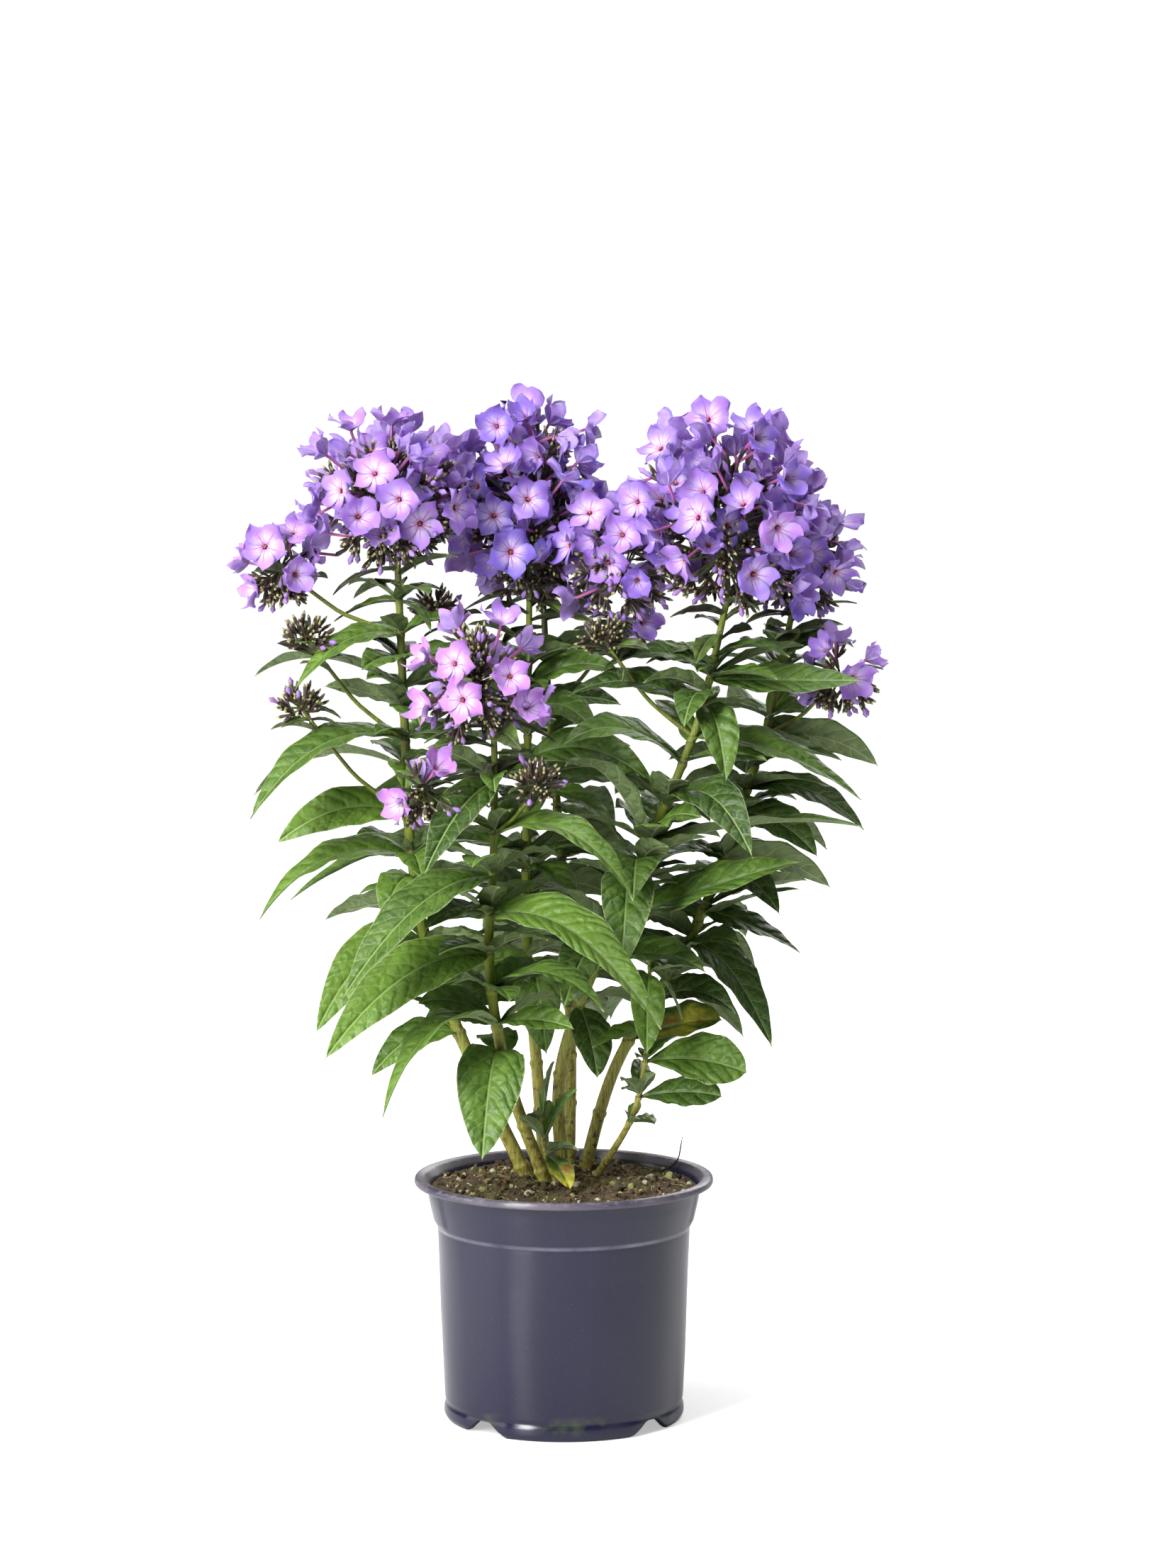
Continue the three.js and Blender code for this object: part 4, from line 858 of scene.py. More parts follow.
def ball_facets(detail):
    """The facets of a unit ball. An icosahedron's corners are the turns of (1, golden ratio, 0) with
    both signs, its facets join the corners 2 apart, and with `detail` each facet is cut in four."""
    golden = (1 + math.sqrt(5)) / 2
    corners = np.array([corner for a in (-1, 1) for b in (-golden, golden)
                        for corner in ((a, b, 0), (0, a, b), (b, 0, a))], float)
    near = np.linalg.norm(corners[:, None] - corners[None], axis=-1) < 2.1
    facets = []
    for i, j, k in itertools.combinations(range(12), 3):
        if near[i, j] and near[j, k] and near[k, i]:
            a, b, c = corners[[i, j, k]]
            facets.append((a, b, c) if np.cross(b - a, c - a) @ a > 0 else (a, c, b))
    if detail:
        cut = []
        for a, b, c in facets:
            ab, bc, ca = (a + b) / 2, (b + c) / 2, (c + a) / 2
            cut += [(a, ab, ca), (b, bc, ab), (c, ca, bc), (ab, bc, ca)]
        facets = cut
    return unit(np.array(facets))


def dome_directions(count, top, lowest, seed):
    """Even directions over a dome: the height falls from `top` to `lowest`, a golden angle on each."""
    i = np.arange(count)
    z = top - (top - lowest) * (i + 0.5) / max(count, 1)
    return on_circle(np.sqrt(1 - z * z), GOLDEN_ANGLE * i + seed, z)


def dome_shape(dome):
    """The centre and the radii of a dome as arrays."""
    return np.array(dome[0], float), np.array(dome[1], float)


def grow_buds(owner, dome, share):
    """The bud spikes of a dome: from its core, below the florets, out to about its radius."""
    centre, radii = dome_shape(dome)
    florets, detail, seed = dome[2:]
    middles = unit(ball_facets(detail).sum(1))
    lengths = 0.85 + 0.3 * chance(seed * 70 + np.arange(len(middles)))
    highest = LOWEST_FLORET if florets else 1
    kept = (middles[:, 2] <= highest) & (middles[:, 2] >= LOWEST_BUD)
    starts = centre + middles[kept] * radii * share
    ends = centre + middles[kept] * radii * lengths[kept, None]
    for start, end in zip(starts, ends):
        place(owner, start + (end - start) * np.linspace(0, 1, 6)[:, None], CLEARANCE)
    place(owner, centre + dome_directions(60, 1, -1, 0) * radii * share, CLEARANCE + 3)
    return list(zip(starts, ends))


def floret_frames(facing):
    """Two unit vectors across each facing direction: a level one, and one at right angles to it."""
    flat = np.stack([-facing[..., 1], facing[..., 0], np.full(facing.shape[:-1], 0.001)], -1)
    level = unit(np.cross(flat, facing))
    return level, np.cross(facing, level)


def floret_samples(at, facing, radius, root):
    """Points over a floret: first FACE_SAMPLES on its face, which are its throat, a ring at its rim and
    one half way, and then some down its tube."""
    level, up = floret_frames(facing)
    points = [at[None]]
    for count, share in ((16, 1), (8, 0.5)):
        angle = (2 * math.pi * np.arange(count) / count)[:, None]
        points.append(at + share * radius * turned(level, up, angle))
    points.append(at + (root - at) * (np.arange(1, 6) / 6)[:, None])
    return np.concatenate(points)


def grow_florets(owner, dome, share, neighbours=()):
    """The florets of a dome as (throat, facing, radius, roll, root). One is moved in or out until it is
    clear of the others, and one with no room is left out."""
    centre, radii = dome_shape(dome)
    florets, seed = dome[2], dome[4]
    grown = []
    for i, direction in enumerate(dome_directions(florets, 1, LOWEST_FLORET, seed)):
        draw = chance(seed * 100 + i * 7 + np.arange(8)) - 0.5
        reach = radii * direction
        if any(np.linalg.norm((reach + centre - n[0]) / n[1]) < MERGED for n in neighbours):
            continue
        facing = unit(direction * (1, 1, 0.5) + (0.7 * draw[2], 0.7 * draw[3], 0.5 * draw[4] + 0.1))
        radius = FLORET_RADIUS * (1 + FLORET_RANGE * draw[5])
        root = centre + reach * share / 2
        for shift in range(MOST_SHIFTS):
            depth = DEPTH_STEP * math.ceil(shift / 2) * (1 if shift % 2 else -1)
            at = centre + reach * (1 + FLORET_RANGE * draw[1] + depth)
            samples = floret_samples(at, facing, radius, root)
            if settle(owner, samples, samples[:FACE_SAMPLES]):
                grown.append((at, facing, radius, 360 * draw[6], root))
                break
    return grown


spikes = {}
for name, domes in HEADS.items():
    spikes[name] = [spike for dome in domes for spike in grow_buds("head_" + name, dome, CORE_SHARE)]
tufts = {name: [] for name in STEMS}
for name in STEMS:
    for spray in SPRAYS:
        if spray[0] != name:
            continue
        root, elbow, tip = spray_corners(spray)
        for end in (root, tip):
            place(name, elbow + (end - elbow) * (np.arange(1, 9) / 8)[:, None], CLEARANCE + 1)
        dome = (*spray[2:5], 0, spray[5])
        tufts[name].append((dome, grow_buds(name, dome, TUFT_SHARE), grow_florets(name, dome, TUFT_SHARE)))

# ---- leaves ----
# Opposite pairs of lance-shaped blades, quilted between their veins, with a sunk midrib and a wavy
# edge. Each grows straight out of the stem, arches over and ends in a drawn-out tip.
LEAF_THICKNESS = 0.5
RIB_DEPTH = 1.0
GROOVE = 0.45
LEAF_FOLD = 0.2
LEAF_TILT = 30
LEAF_SWAY = 24
LEAF_TURN = 7
MOST_TURNS = 15
LEAF_WAVES = 0.08
LEAF_TWIST = 80
LEAF_SWEEP = 0.16
LEAF_NOD = 0.1
EDGE_CURL = 0.16
LEAF_ROWS = 25
NEAR_STEM = 25
# The powers a and b of an outline: first for the room that a leaf takes, then for its finished blade,
# whose half width is also scaled. The three are lance-shaped, egg-shaped and spoon-shaped.
OUTLINES = [(0.85, 1.25), (0.75, 0.85), (1.15, 0.55)]
BLADE_OUTLINES = [(0.7, 1.0), (1.05, 0.85), (1.15, 0.8)]
BLADE_SHARES = (1, 0.84, 1)
# Where the points of a ring lie, as shares of the half width: across the top, and back below.
TOP_SHARES = np.array([1, 0.8, 0.58, 0.34, 0.1, 0, -0.1, -0.34, -0.58, -0.8, -1])
UNDER_SHARES = np.array([-0.72, -0.36, -0.07, 0, 0.07, 0.36, 0.72])
SIDE_LOWEST = 240
# How light a stem's leaves may be, up to 1, with low caps that paint shade on the right and rear
# stems, and the leaves that have faded: stem, node height, azimuth.
LIGHT_CAPS = {"far_right": 0.1, "right": 0.32, "rear": 0.3}
FADED = [("far_right", 235, 350), ("sprig", 170, 290)]
LOW_SHARE = 0.55
SIDE_SHARE = 0.9
SIDE_SWINGS = (32, -32, 80, -80, 130)


def leaf_frame(leaf, s, outlines=OUTLINES):
    """The midrib's points at shares `s` of the leaf, its sideways and upward unit vectors, and half its
    width, which goes as s to the power a times (1 - s) to the power b. The midrib is an arc that rises
    from the node by the arch and drops to the tip."""
    azimuth, roll = math.radians(leaf["azimuth"]), math.radians(leaf["roll"])
    out = np.array([math.cos(azimuth), math.sin(azimuth), 0])
    tip = leaf["base"] + out * leaf["reach"] + (0, 0, leaf["lift"])
    bend = (leaf["base"] + tip) / 2 + (0, 0, leaf["arch"] * np.linalg.norm(tip - leaf["base"]))
    s = s[:, None]
    points = arc(leaf["base"], bend, tip, s)
    ahead = unit((bend - leaf["base"]) * (1 - s) + (tip - bend) * s)
    level = np.array([-math.sin(azimuth), math.cos(azimuth), 0])
    above = np.cross(ahead, level)
    side, up = turned(level, above, roll), turned(above, -level, roll)
    a, b = outlines[leaf["outline"]]
    widest = a / (a + b)
    full = s[:, 0] ** a * (1 - s[:, 0]) ** b / (widest ** a * (1 - widest) ** b)
    return points, side, up, np.maximum(leaf["half"] * full, 1.5 * (1 - s[:, 0]))


def leaf_samples(leaf):
    """Points over the blade, in 26 rows of five from the stem outwards. The first NEAR_STEM may come
    close to the plant's own leaves."""
    points, side, up, half = leaf_frame(leaf, np.arange(1, 27) / 26)
    across = np.array([-1, -0.5, 0, 0.5, 1])[None, :, None]
    half = half[:, None, None]
    return (points[:, None] + side[:, None] * across * half
            + up[:, None] * np.abs(across) * half * LEAF_FOLD).reshape(-1, 3)


def grow_leaves(name, seed):
    """The leaves of one stem. One that would touch another stem's is turned about its node until clear."""
    grown = []
    for i, (z, azimuth, reach, lift, arch, half, outline) in enumerate(LEAVES[name]):
        way = math.radians(azimuth)
        lean = LEAF_TILT * math.cos(way) * (1 if math.sin(way) < 0 else -1)
        leaf = {"base": stem_points(name, z)[0], "reach": reach, "lift": lift, "arch": arch, "half": half,
                "outline": outline, "roll": lean + LEAF_SWAY * (chance(seed + i) - 0.5), "seed": seed + i,
                "tint": 2 * ((name, z, azimuth) in FADED), "tone_and_light": LIGHT_CAPS.get(name, 1)}
        for turn in range(MOST_TURNS):
            leaf["azimuth"] = azimuth + LEAF_TURN * math.ceil(turn / 2) * (1 if turn % 2 else -1)
            samples = leaf_samples(leaf)
            if settle(name, samples, samples[NEAR_STEM:]):
                grown.append(leaf)
                break
    return grown


def blade(leaf, rows):
    """A leaf's closed skin as rings across it, over the top and back below, with its attributes. One is
    the place on the leaf, along and across in units of 100 mm, and how near the edge it is. The other
    is which side it is on, its tone, drawn at random up to a cap that paints shade on some stems, and
    its tint: up to 1 for purple, and 2 for faded. Each half rises from the midrib by the fold, with
    waves that grow towards the edge and a curl."""
    s = np.sin(np.linspace(0, math.pi / 2, rows)) ** 1.1
    points, side, up, half = leaf_frame(leaf, np.clip(s, 0.012, 0.999), BLADE_OUTLINES)
    half = half * (1 - smooth_step(s, 0.95, 1.0) * 0.9) * BLADE_SHARES[leaf["outline"]]
    share = np.concatenate([TOP_SHARES, UNDER_SHARES])[None]
    under = (np.arange(share.size) >= TOP_SHARES.size)[None]
    drawn = chance(leaf["seed"] * 3.3 + np.arange(9) + 0.3)
    twist = (math.radians(LEAF_TWIST) * (drawn[6] - 0.5) * s)[:, None]
    side, up = turned(side, up, twist), turned(up, -side, twist)
    azimuth = math.radians(leaf["azimuth"])
    level = np.array([-math.sin(azimuth), math.cos(azimuth), 0])
    swept = level * LEAF_SWEEP * (drawn[7] - 0.5) * (s ** 2)[:, None]
    nodded = up * LEAF_NOD * (drawn[8] - 0.6) * (s ** 4)[:, None]
    points = points + leaf["reach"] * (swept + nodded)
    waves = np.where(share > 0, np.sin(2 * math.pi * (3.4 + 1.4 * drawn[0]) * s[:, None] + 6 * drawn[1]),
                     np.sin(2 * math.pi * (3.2 + 1.4 * drawn[2]) * s[:, None] + 6 * drawn[3]))
    h = half[:, None]
    in_middle = (s * (1 - s) * 4)[:, None]
    fold = LEAF_FOLD * (1.1 + 1.5 * chance(leaf["seed"] * 5.1))
    rise = h * fold * (np.abs(share) - 0.5 * np.abs(share) ** 3)
    rise = rise + h * LEAF_WAVES * waves * np.abs(share) ** 2.5 * in_middle
    rise = rise + h * EDGE_CURL * (drawn[4] - 0.3) * share ** 2 * smooth_step(s[:, None], 0.3, 0.9)
    away = np.abs(share) * h
    rib = RIB_DEPTH * (1 - 0.75 * s[:, None]) * np.exp(-(away / 1.1) ** 2)
    groove = GROOVE * np.exp(-away ** 2) * (1 - s[:, None])
    rise = rise - np.where(under, (LEAF_THICKNESS + rib) * (1 - share ** 4), groove)
    skin = points[:, None] + side[:, None] * (share * h)[..., None] + up[:, None] * rise[..., None]
    length = np.linalg.norm(np.diff(points, axis=0), axis=1)
    x = np.concatenate([[0], np.cumsum(length)])[:, None] / 100
    lay = in_threes(skin.shape[:-1], x, share * h / 100, np.abs(share))
    look = in_threes(skin.shape[:-1], under, drawn[5] * leaf["tone_and_light"], leaf["tint"])
    return skin, lay, look


leaf_green, tree, principled, place_on = shader("leaf", {"Specular IOR Level": 0.5})
lay = parts_of(tree, attribute(tree, "lay"))
look = parts_of(tree, attribute(tree, "look"))
from_rib = math_node(tree, "ABSOLUTE", lay["Y"])
flat_lay = node(tree, "CombineXYZ", X=lay["X"], Y=lay["Y"], Z=look["Y"]).outputs[0]
wander = mottle(tree, flat_lay, 8, 0.0, 1.0)
lean = math_node(tree, "ADD", times(tree, from_rib, 5.0), 0.5)
vein_start = math_node(tree, "SUBTRACT", lay["X"], times(tree, from_rib, lean))
right_side = math_node(tree, "GREATER_THAN", lay["Y"], 0.0)
vein_start = math_node(tree, "ADD", vein_start, times(tree, right_side, 0.05))
vein_start = math_node(tree, "ADD", vein_start, times(tree, wander, 0.09))
vein_turn = math_node(tree, "FRACT", times(tree, vein_start, 8.2))
from_vein = math_node(tree, "ABSOLUTE", math_node(tree, "SUBTRACT", vein_turn, 0.5))
vein = band(tree, from_vein, 0.036, 0.008)
cells = node(tree, "TexVoronoi", {"feature": "DISTANCE_TO_EDGE"}, Vector=flat_lay, Scale=15.0)
cells = cells.outputs["Distance"]
net = band(tree, cells, 0.045, 0.01)
rib = band(tree, from_rib, 0.0065, 0.0025)
# A pale line along the edge: the margin's own paler colour and a painted highlight on the rim.
edge = band(tree, lay["Z"], 0.945, 0.985)
# Random tone capped per stem: the lighter green is partly painted sheen, the darker partly painted shade.
tone_and_light = band(tree, look["Y"], 0.2, 1.0)
tone_and_shade = band(tree, look["Y"], 0.3, 0.0)
below = band(tree, look["X"], 0.3, 0.5)
pale = blend(tree, mottle(tree, flat_lay, 14, 0.3, 0.7), (0.12, 0.18, 0.062), (0.19, 0.255, 0.1))
pale = coats(tree, pale, [
    (net, 0.25, (0.1, 0.15, 0.05)),
    (math_node(tree, "MAXIMUM", vein, rib), 0.7, (0.32, 0.38, 0.2)),
])
faded = band(tree, look["Z"], 1.2, 1.8)
yellowed = times(tree, faded, mottle(tree, flat_lay, 4, 0.5, 0.66))
browned = times(tree, faded, mottle(tree, flat_lay, 7, 0.64, 0.7))
flushed = math_node(tree, "SUBTRACT", look["Z"], times(tree, faded, 2.0))
flushed = times(tree, flushed, mottle(tree, place_on, 60, 0.3, 0.6))
green = blend(tree, mottle(tree, flat_lay, 9, 0.3, 0.7), (0.05, 0.118, 0.013), (0.13, 0.238, 0.03))
green = coats(tree, green, [
    # Lighter green, partly painted sheen; darker green, partly painted shade on the right and rear stems.
    (tone_and_light, 0.6, (0.13, 0.24, 0.022)),
    (tone_and_shade, 0.75, (0.017, 0.042, 0.005)),
    (net, 0.3, (0.18, 0.29, 0.07)),
    (vein, 0.6, (0.22, 0.33, 0.1)),
    (rib, 0.8, (0.26, 0.37, 0.12)),
    (edge, 0.7, (0.34, 0.4, 0.2)),
    (below, 1, pale),
    (yellowed, 1, (0.42, 0.4, 0.04)),
    (browned, 1, (0.25, 0.11, 0.025)),
    (flushed, 1, (0.035, 0.018, 0.026)),
])
satin = node(tree, "MapRange", Value=below, To_Min=0.47, To_Max=0.72).outputs["Result"]
quilt = times(tree, band(tree, cells, 0.0, 0.4), 0.55)
quilt = math_node(tree, "ADD", times(tree, band(tree, from_vein, 0.0, 0.4), 0.8), quilt)
quilt = times(tree, quilt, band(tree, from_rib, 0.002, 0.02))
feed(tree, principled, {"Base Color": green, "Roughness": satin, "Normal": bump(tree, quilt, 0.7, 0.0013)})


def leafage(name, blades, node_name, rows):
    """One piece out of several blades; the CAD part of the node that they stand for is hidden."""
    skin, lay, look = (np.stack(grids) for grids in zip(*(blade(leaf, rows) for leaf in blades)))
    piece = new_piece(name, *joined([skin]), {"lay": lay, "look": look})
    hand_over(piece, leaf_green, node_name)


def side_leaves(name, seed):
    """Small leaves of the side shoots that start in the axils, wherever there is room for them."""
    grown = []
    for i, (z, azimuth, *own_shape) in enumerate(LEAVES[name]):
        for j, swing in enumerate(SIDE_SWINGS):
            drawn = chance(seed * 7 + i * 2.6 + j * 0.7 + np.arange(5) * 0.13)
            small = 1 if z > SIDE_LOWEST else LOW_SHARE
            if drawn[0] > SIDE_SHARE or (z < SIDE_LOWEST and name not in ("sprig", "shoot")):
                continue
            leaf = {"base": stem_points(name, z + 2)[0], "azimuth": azimuth + swing * (0.7 + 0.8 * drawn[1]),
                    "reach": small * (28 + 38 * drawn[2]), "lift": 24 * drawn[3] - 4,
                    "arch": 0.12 + 0.15 * drawn[4], "half": small * (7 + 6.5 * drawn[2]),
                    "outline": 0, "roll": 60 * (drawn[1] - 0.5), "seed": seed + 0.37 * i + 11 * j,
                    "tint": 0.1 * drawn[3], "tone_and_light": 1}
            samples = leaf_samples(leaf)
            if settle(name, samples, samples[NEAR_STEM:]):
                grown.append(leaf)
    return grown


leaves = {}
for k, name in enumerate(LEAVES):
    leaves[name] = grow_leaves(name, 100 * k)

# ---- petals ----
# Each floret is a star of five petals, thin and soft, that overlap like the blades of a pinwheel.
# They are violet with a white star and thin magenta lines round a dark red eye.
PETAL_THICKNESS = 0.4
PETAL_WIDTH = 0.46
# Where a petal's rings lie along it, and the points of a ring across it, over the top and back below.
PETAL_ROWS = np.array([0, 0.12, 0.3, 0.52, 0.73, 0.88, 0.96, 1.0])
PETAL_RING = np.array([1, 0.5, 0, -0.5, -1, -0.5, 0, 0.5])
# A petal's slope at the throat in radians: the least, what is drawn on top, and more if it is cupped.
FIRST_SLOPE = 0.48
SLOPE_DRAWN = 0.42
CUPPED = 0.45
FLAT_SHARE = 0.72
THROAT_DEPTH = 0.12
THROAT_RADIUS = 0.05
FLORET_SPREAD = 1.11
FILLER_DEPTH = 0.8
FILLER_LOWEST = -0.45
FILLER_SPACING = 17
NOD = 1.25
PUSH = 12
NOT_OPEN = 0.2
# For each floret of the front head: how far it is to the right and up from the centre, and the
# azimuth and elevation that it faces.
FRONT_FLORETS = [
    (-13, 14, 250, 12), (-8, -8, 260, 0), (21, 6, 282, 8), (31, -14, 296, 24), (15, 38, 280, 66),
    (-31, 16, 196, 20), (-31, -14, 208, -4), (28, 20, 40, 30), (41, -13, 350, -8), (-12, 34, 120, 40),
    (6, 14, 95, 5), (-16, -8, 130, 0), (16, -16, 60, -5),
]
SIDE_FLORETS = 0.9
# How pink the florets of each stem are, up to 1.
PINK = {"front": 0.75, "left": 0.32, "right": 0.25, "far_right": 0.15, "back": 0.08, "rear": 0.1}


def petals(flowers, seed):
    """All petals of some florets as closed skins, with attributes: the place on the petal (out, across)
    and its tone; and which side it is on, its pink and its blue. A petal's half width goes as
    sin(0.95 pi u^1.35)^0.7. Its slope changes evenly from the throat to the end, one side overlaps the
    next petal, and the edges roll in or back."""
    at, facing, radius, roll = (np.array([f[k] for f in flowers]) for k in range(4))
    level, up = floret_frames(facing)
    angle = np.radians(roll[:, None] + 72 * np.arange(5))[..., None]
    out = turned(level[:, None], up[:, None], angle)
    across = turned(up[:, None], -level[:, None], angle)
    n = seed + np.arange(len(flowers) * 5).reshape(-1, 5)
    draw = lambda k: chance(n * 1.7 + k * 0.37)[..., None, None]
    u = PETAL_ROWS[:, None]
    v = PETAL_RING[None]
    under = (np.arange(len(PETAL_RING)) > len(PETAL_RING) / 2)[None]
    width = PETAL_WIDTH * np.sin(math.pi * 0.95 * u ** 1.35) ** 0.7 + 0.07 * (1 - u)
    flower = lambda k: chance(seed * 3 + np.arange(len(flowers)) * 2.3 + k)[:, None, None, None]
    width = width * (0.88 + 0.22 * flower(1.3))
    first = FIRST_SLOPE + SLOPE_DRAWN * flower(0.1) + CUPPED * (flower(0.4) > FLAT_SHARE)
    last = first - 0.15 - 0.75 * flower(0.7) + 0.3 * (draw(1) - 0.5)
    middle = (PETAL_ROWS[1:] + PETAL_ROWS[:-1])[:, None] / 2
    step = np.diff(PETAL_ROWS)[:, None]
    slope = first + (last - first) * middle
    zero = np.zeros((*slope.shape[:2], 1, 1))
    along = np.concatenate([zero, np.cumsum(step * np.cos(slope), axis=2)], axis=2)
    rise = np.concatenate([zero, np.cumsum(step * np.sin(slope), axis=2)], axis=2) - THROAT_DEPTH
    point = (0.18 - 0.18 * draw(8)) * np.exp(-(v / 0.5) ** 2) * u ** 6
    reach = THROAT_RADIUS + along * (1 - 0.1 * v ** 2 * u ** 2 + 0.07 * v * u ** 3 + point)
    reach = reach * (0.96 + 0.12 * draw(2))
    rise = rise + (0.16 + 0.12 * draw(3)) * v * u + (0.32 * draw(4) - 0.12) * v ** 2 * u ** 1.5
    rise = rise + (0.3 * draw(9) - 0.15) * np.abs(v) ** 3 * u ** 4
    rise = rise + 0.04 * np.sin(7 * u + 6 * draw(5)) * np.abs(v) * u
    size = FLORET_SPREAD * radius[:, None, None, None]
    rise = rise * size - under * PETAL_THICKNESS * (1 - v ** 2)
    skin = (at[:, None, None, None] + out[:, :, None, None] * (reach * size)[..., None]
            + across[:, :, None, None] * (width * v * size * (0.94 + 0.12 * draw(6)))[..., None]
            + facing[:, None, None, None] * rise[..., None])
    shape = skin.shape[:-1]
    place_in = in_threes(shape, u, np.abs(v), draw(7))
    flower_draw = lambda k: chance(seed * 5 + np.arange(len(flowers)) * 3.1 + k)[:, None, None, None]
    own = np.array([f[5] for f in flowers])[:, None, None, None]
    pink = own * (0.6 + 0.8 * flower_draw(0.5)) + 0.35 * flower_draw(0) ** 2
    blue = smooth_step(flower_draw(1), np.minimum(2.5 * own - 0.3, 0.8), 1.0) * (1 - np.clip(pink, 0, 1))
    return skin.reshape(-1, *skin.shape[2:]), place_in, in_threes(shape, under, pink, blue)


def filler_florets(dome, share, grown, neighbours=()):
    """More florets deeper in a dome, wherever a throat is FILLER_SPACING away from all others."""
    centre, radii = dome_shape(dome)
    florets, seed = dome[2], dome[4]
    throats = [flower[0] for flower in grown]
    for i, direction in enumerate(dome_directions(5 * florets, 1, FILLER_LOWEST, seed + 0.5)):
        draw = chance(seed * 31 + i * 11 + np.arange(8)) - 0.5
        reach = radii * direction
        if any(np.linalg.norm((reach + centre - n[0]) / n[1]) < MERGED for n in neighbours):
            continue
        at = centre + reach * (FILLER_DEPTH + 0.3 * draw[0])
        if min(np.linalg.norm(at - throat) for throat in throats) < FILLER_SPACING:
            continue
        facing = unit(direction * (1, 1, 0.6) + 1.5 * draw[1:4] + (0, 0, 0.1))
        throats.append(at)
        radius = FLORET_RADIUS * (0.95 + 0.2 * draw[4])
        grown.append((at, facing, radius, 360 * draw[5], centre + reach * share / 2))
    return grown


petal_skin, tree, principled, place_on = shader("petal", {
    "Roughness": 0.55, "Subsurface Weight": 0.25, "Subsurface Radius": (1.0, 0.6, 1.0),
    "Subsurface Scale": 0.0015,
})
part = parts_of(tree, attribute(tree, "place_in"))
hue = parts_of(tree, attribute(tree, "hue"))
outwards, sideways = part["X"], part["Y"]
underside, pink, blue = band(tree, hue["X"], 0.3, 0.6), hue["Y"], hue["Z"]
lighter = mottle(tree, place_on, 160, 0.2, 0.8)
streaky = node(tree, "CombineXYZ", X=times(tree, outwards, 0.5), Y=sideways, Z=part["Z"])
streaky = mottle(tree, streaky.outputs[0], 7, 0.1, 0.55)
star = times(tree, band(tree, outwards, 0.75, 0.2), streaky)
star = times(tree, star, band(tree, times(tree, sideways, outwards), 0.75, 0.1))
ray = times(tree, sideways, math_node(tree, "ADD", outwards, 0.25))
lines = times(tree, band(tree, ray, 0.045, 0.015), band(tree, outwards, 0.85, 0.45))
side_ray = math_node(tree, "ABSOLUTE", math_node(tree, "SUBTRACT", sideways, 0.5))
side_lines = times(tree, band(tree, side_ray, 0.07, 0.02), band(tree, outwards, 0.65, 0.3))
lines = math_node(tree, "MAXIMUM", lines, times(tree, side_lines, 0.3))
lines = math_node(tree, "MAXIMUM", lines, times(tree, band(tree, outwards, 0.3, 0.1), 0.55))
margin = math_node(tree, "MAXIMUM", band(tree, sideways, 0.72, 1.0), band(tree, outwards, 0.86, 1.0))
margin = times(tree, margin, band(tree, pink, 1.0, 0.0))
eye = band(tree, outwards, 0.09, 0.04)
mauve = blend(tree, mottle(tree, place_on, 200, 0.35, 0.65), (0.3, 0.2, 0.52), (0.42, 0.3, 0.68))
violet = blend(tree, part["Z"], (0.185, 0.13, 0.6), (0.31, 0.205, 0.7))
violet = coats(tree, violet, [
    (blue, 1, (0.085, 0.07, 0.5)),
    (pink, 1, (0.5, 0.2, 0.62)),
    (lighter, 0.2, (0.36, 0.28, 0.8)),
    (star, 0.72, (0.82, 0.71, 0.97)),
    (lines, 0.85, (0.42, 0.04, 0.3)),
    (margin, 0.5, (0.15, 0.07, 0.42)),
    (eye, 1, (0.22, 0.008, 0.07)),
    (underside, 1, mauve),
])
feed(tree, principled, {"Base Color": violet})


def corollas(name, flowers, node_name, seed):
    """One piece out of the petals of some florets."""
    skin, place_in, hue = petals(flowers, seed)
    faces = ring_faces(skin.shape[1], skin.shape[2], len(skin), under=4)
    piece = new_piece(name, skin, faces, {"place_in": place_in, "hue": hue})
    hand_over(piece, petal_skin, node_name)


def nodding(flowers, seed):
    """The same florets, each turned a little its own way and moved out or in."""
    draw = chances(seed + np.arange(len(flowers)) * 1.9, (0, 0.31, 0.62)) - 0.5
    return [(f[0] + PUSH * (d[0] + 0.05) * f[1], unit(f[1] + NOD * d), *f[2:]) for f, d in zip(flowers, draw)]


def front_florets(dome):
    """The florets of the front head, which stand round a column of buds, and places for those buds. A
    floret lies on the head's ellipsoid, on the side that it faces."""
    centre, radii = dome_shape(dome)
    flowers = []
    for i, (across, height, azimuth, elevation) in enumerate(FRONT_FLORETS):
        turn, rise = math.radians(azimuth), math.radians(elevation)
        facing = np.array([math.cos(rise) * math.cos(turn), math.cos(rise) * math.sin(turn), math.sin(rise)])
        depth = math.sqrt(max(0.05, 1 - (across / radii[0]) ** 2 - (height / radii[2]) ** 2)) * radii[1]
        at = centre + (across, depth * np.sign(facing[1]), height)
        root = centre + (at - centre) * CORE_SHARE / 2
        flowers.append((at, facing, FLORET_RADIUS * 0.9, 360 * chance(i + 0.5), root))
    column = ((2, 30), (8, 22), (-2, 14), (5, 2), (3, -10), (8, -24))
    column = [np.array([x, -0.75 * radii[1], z]) for x, z in column]
    tops = [np.array([x, y, 1.05 * radii[2]]) for x, y in ((-4, -10), (6, 4), (-14, 8))]
    return flowers, [(centre + spot, unit(spot), 1, 0, centre + 0.2 * spot) for spot in column + tops]


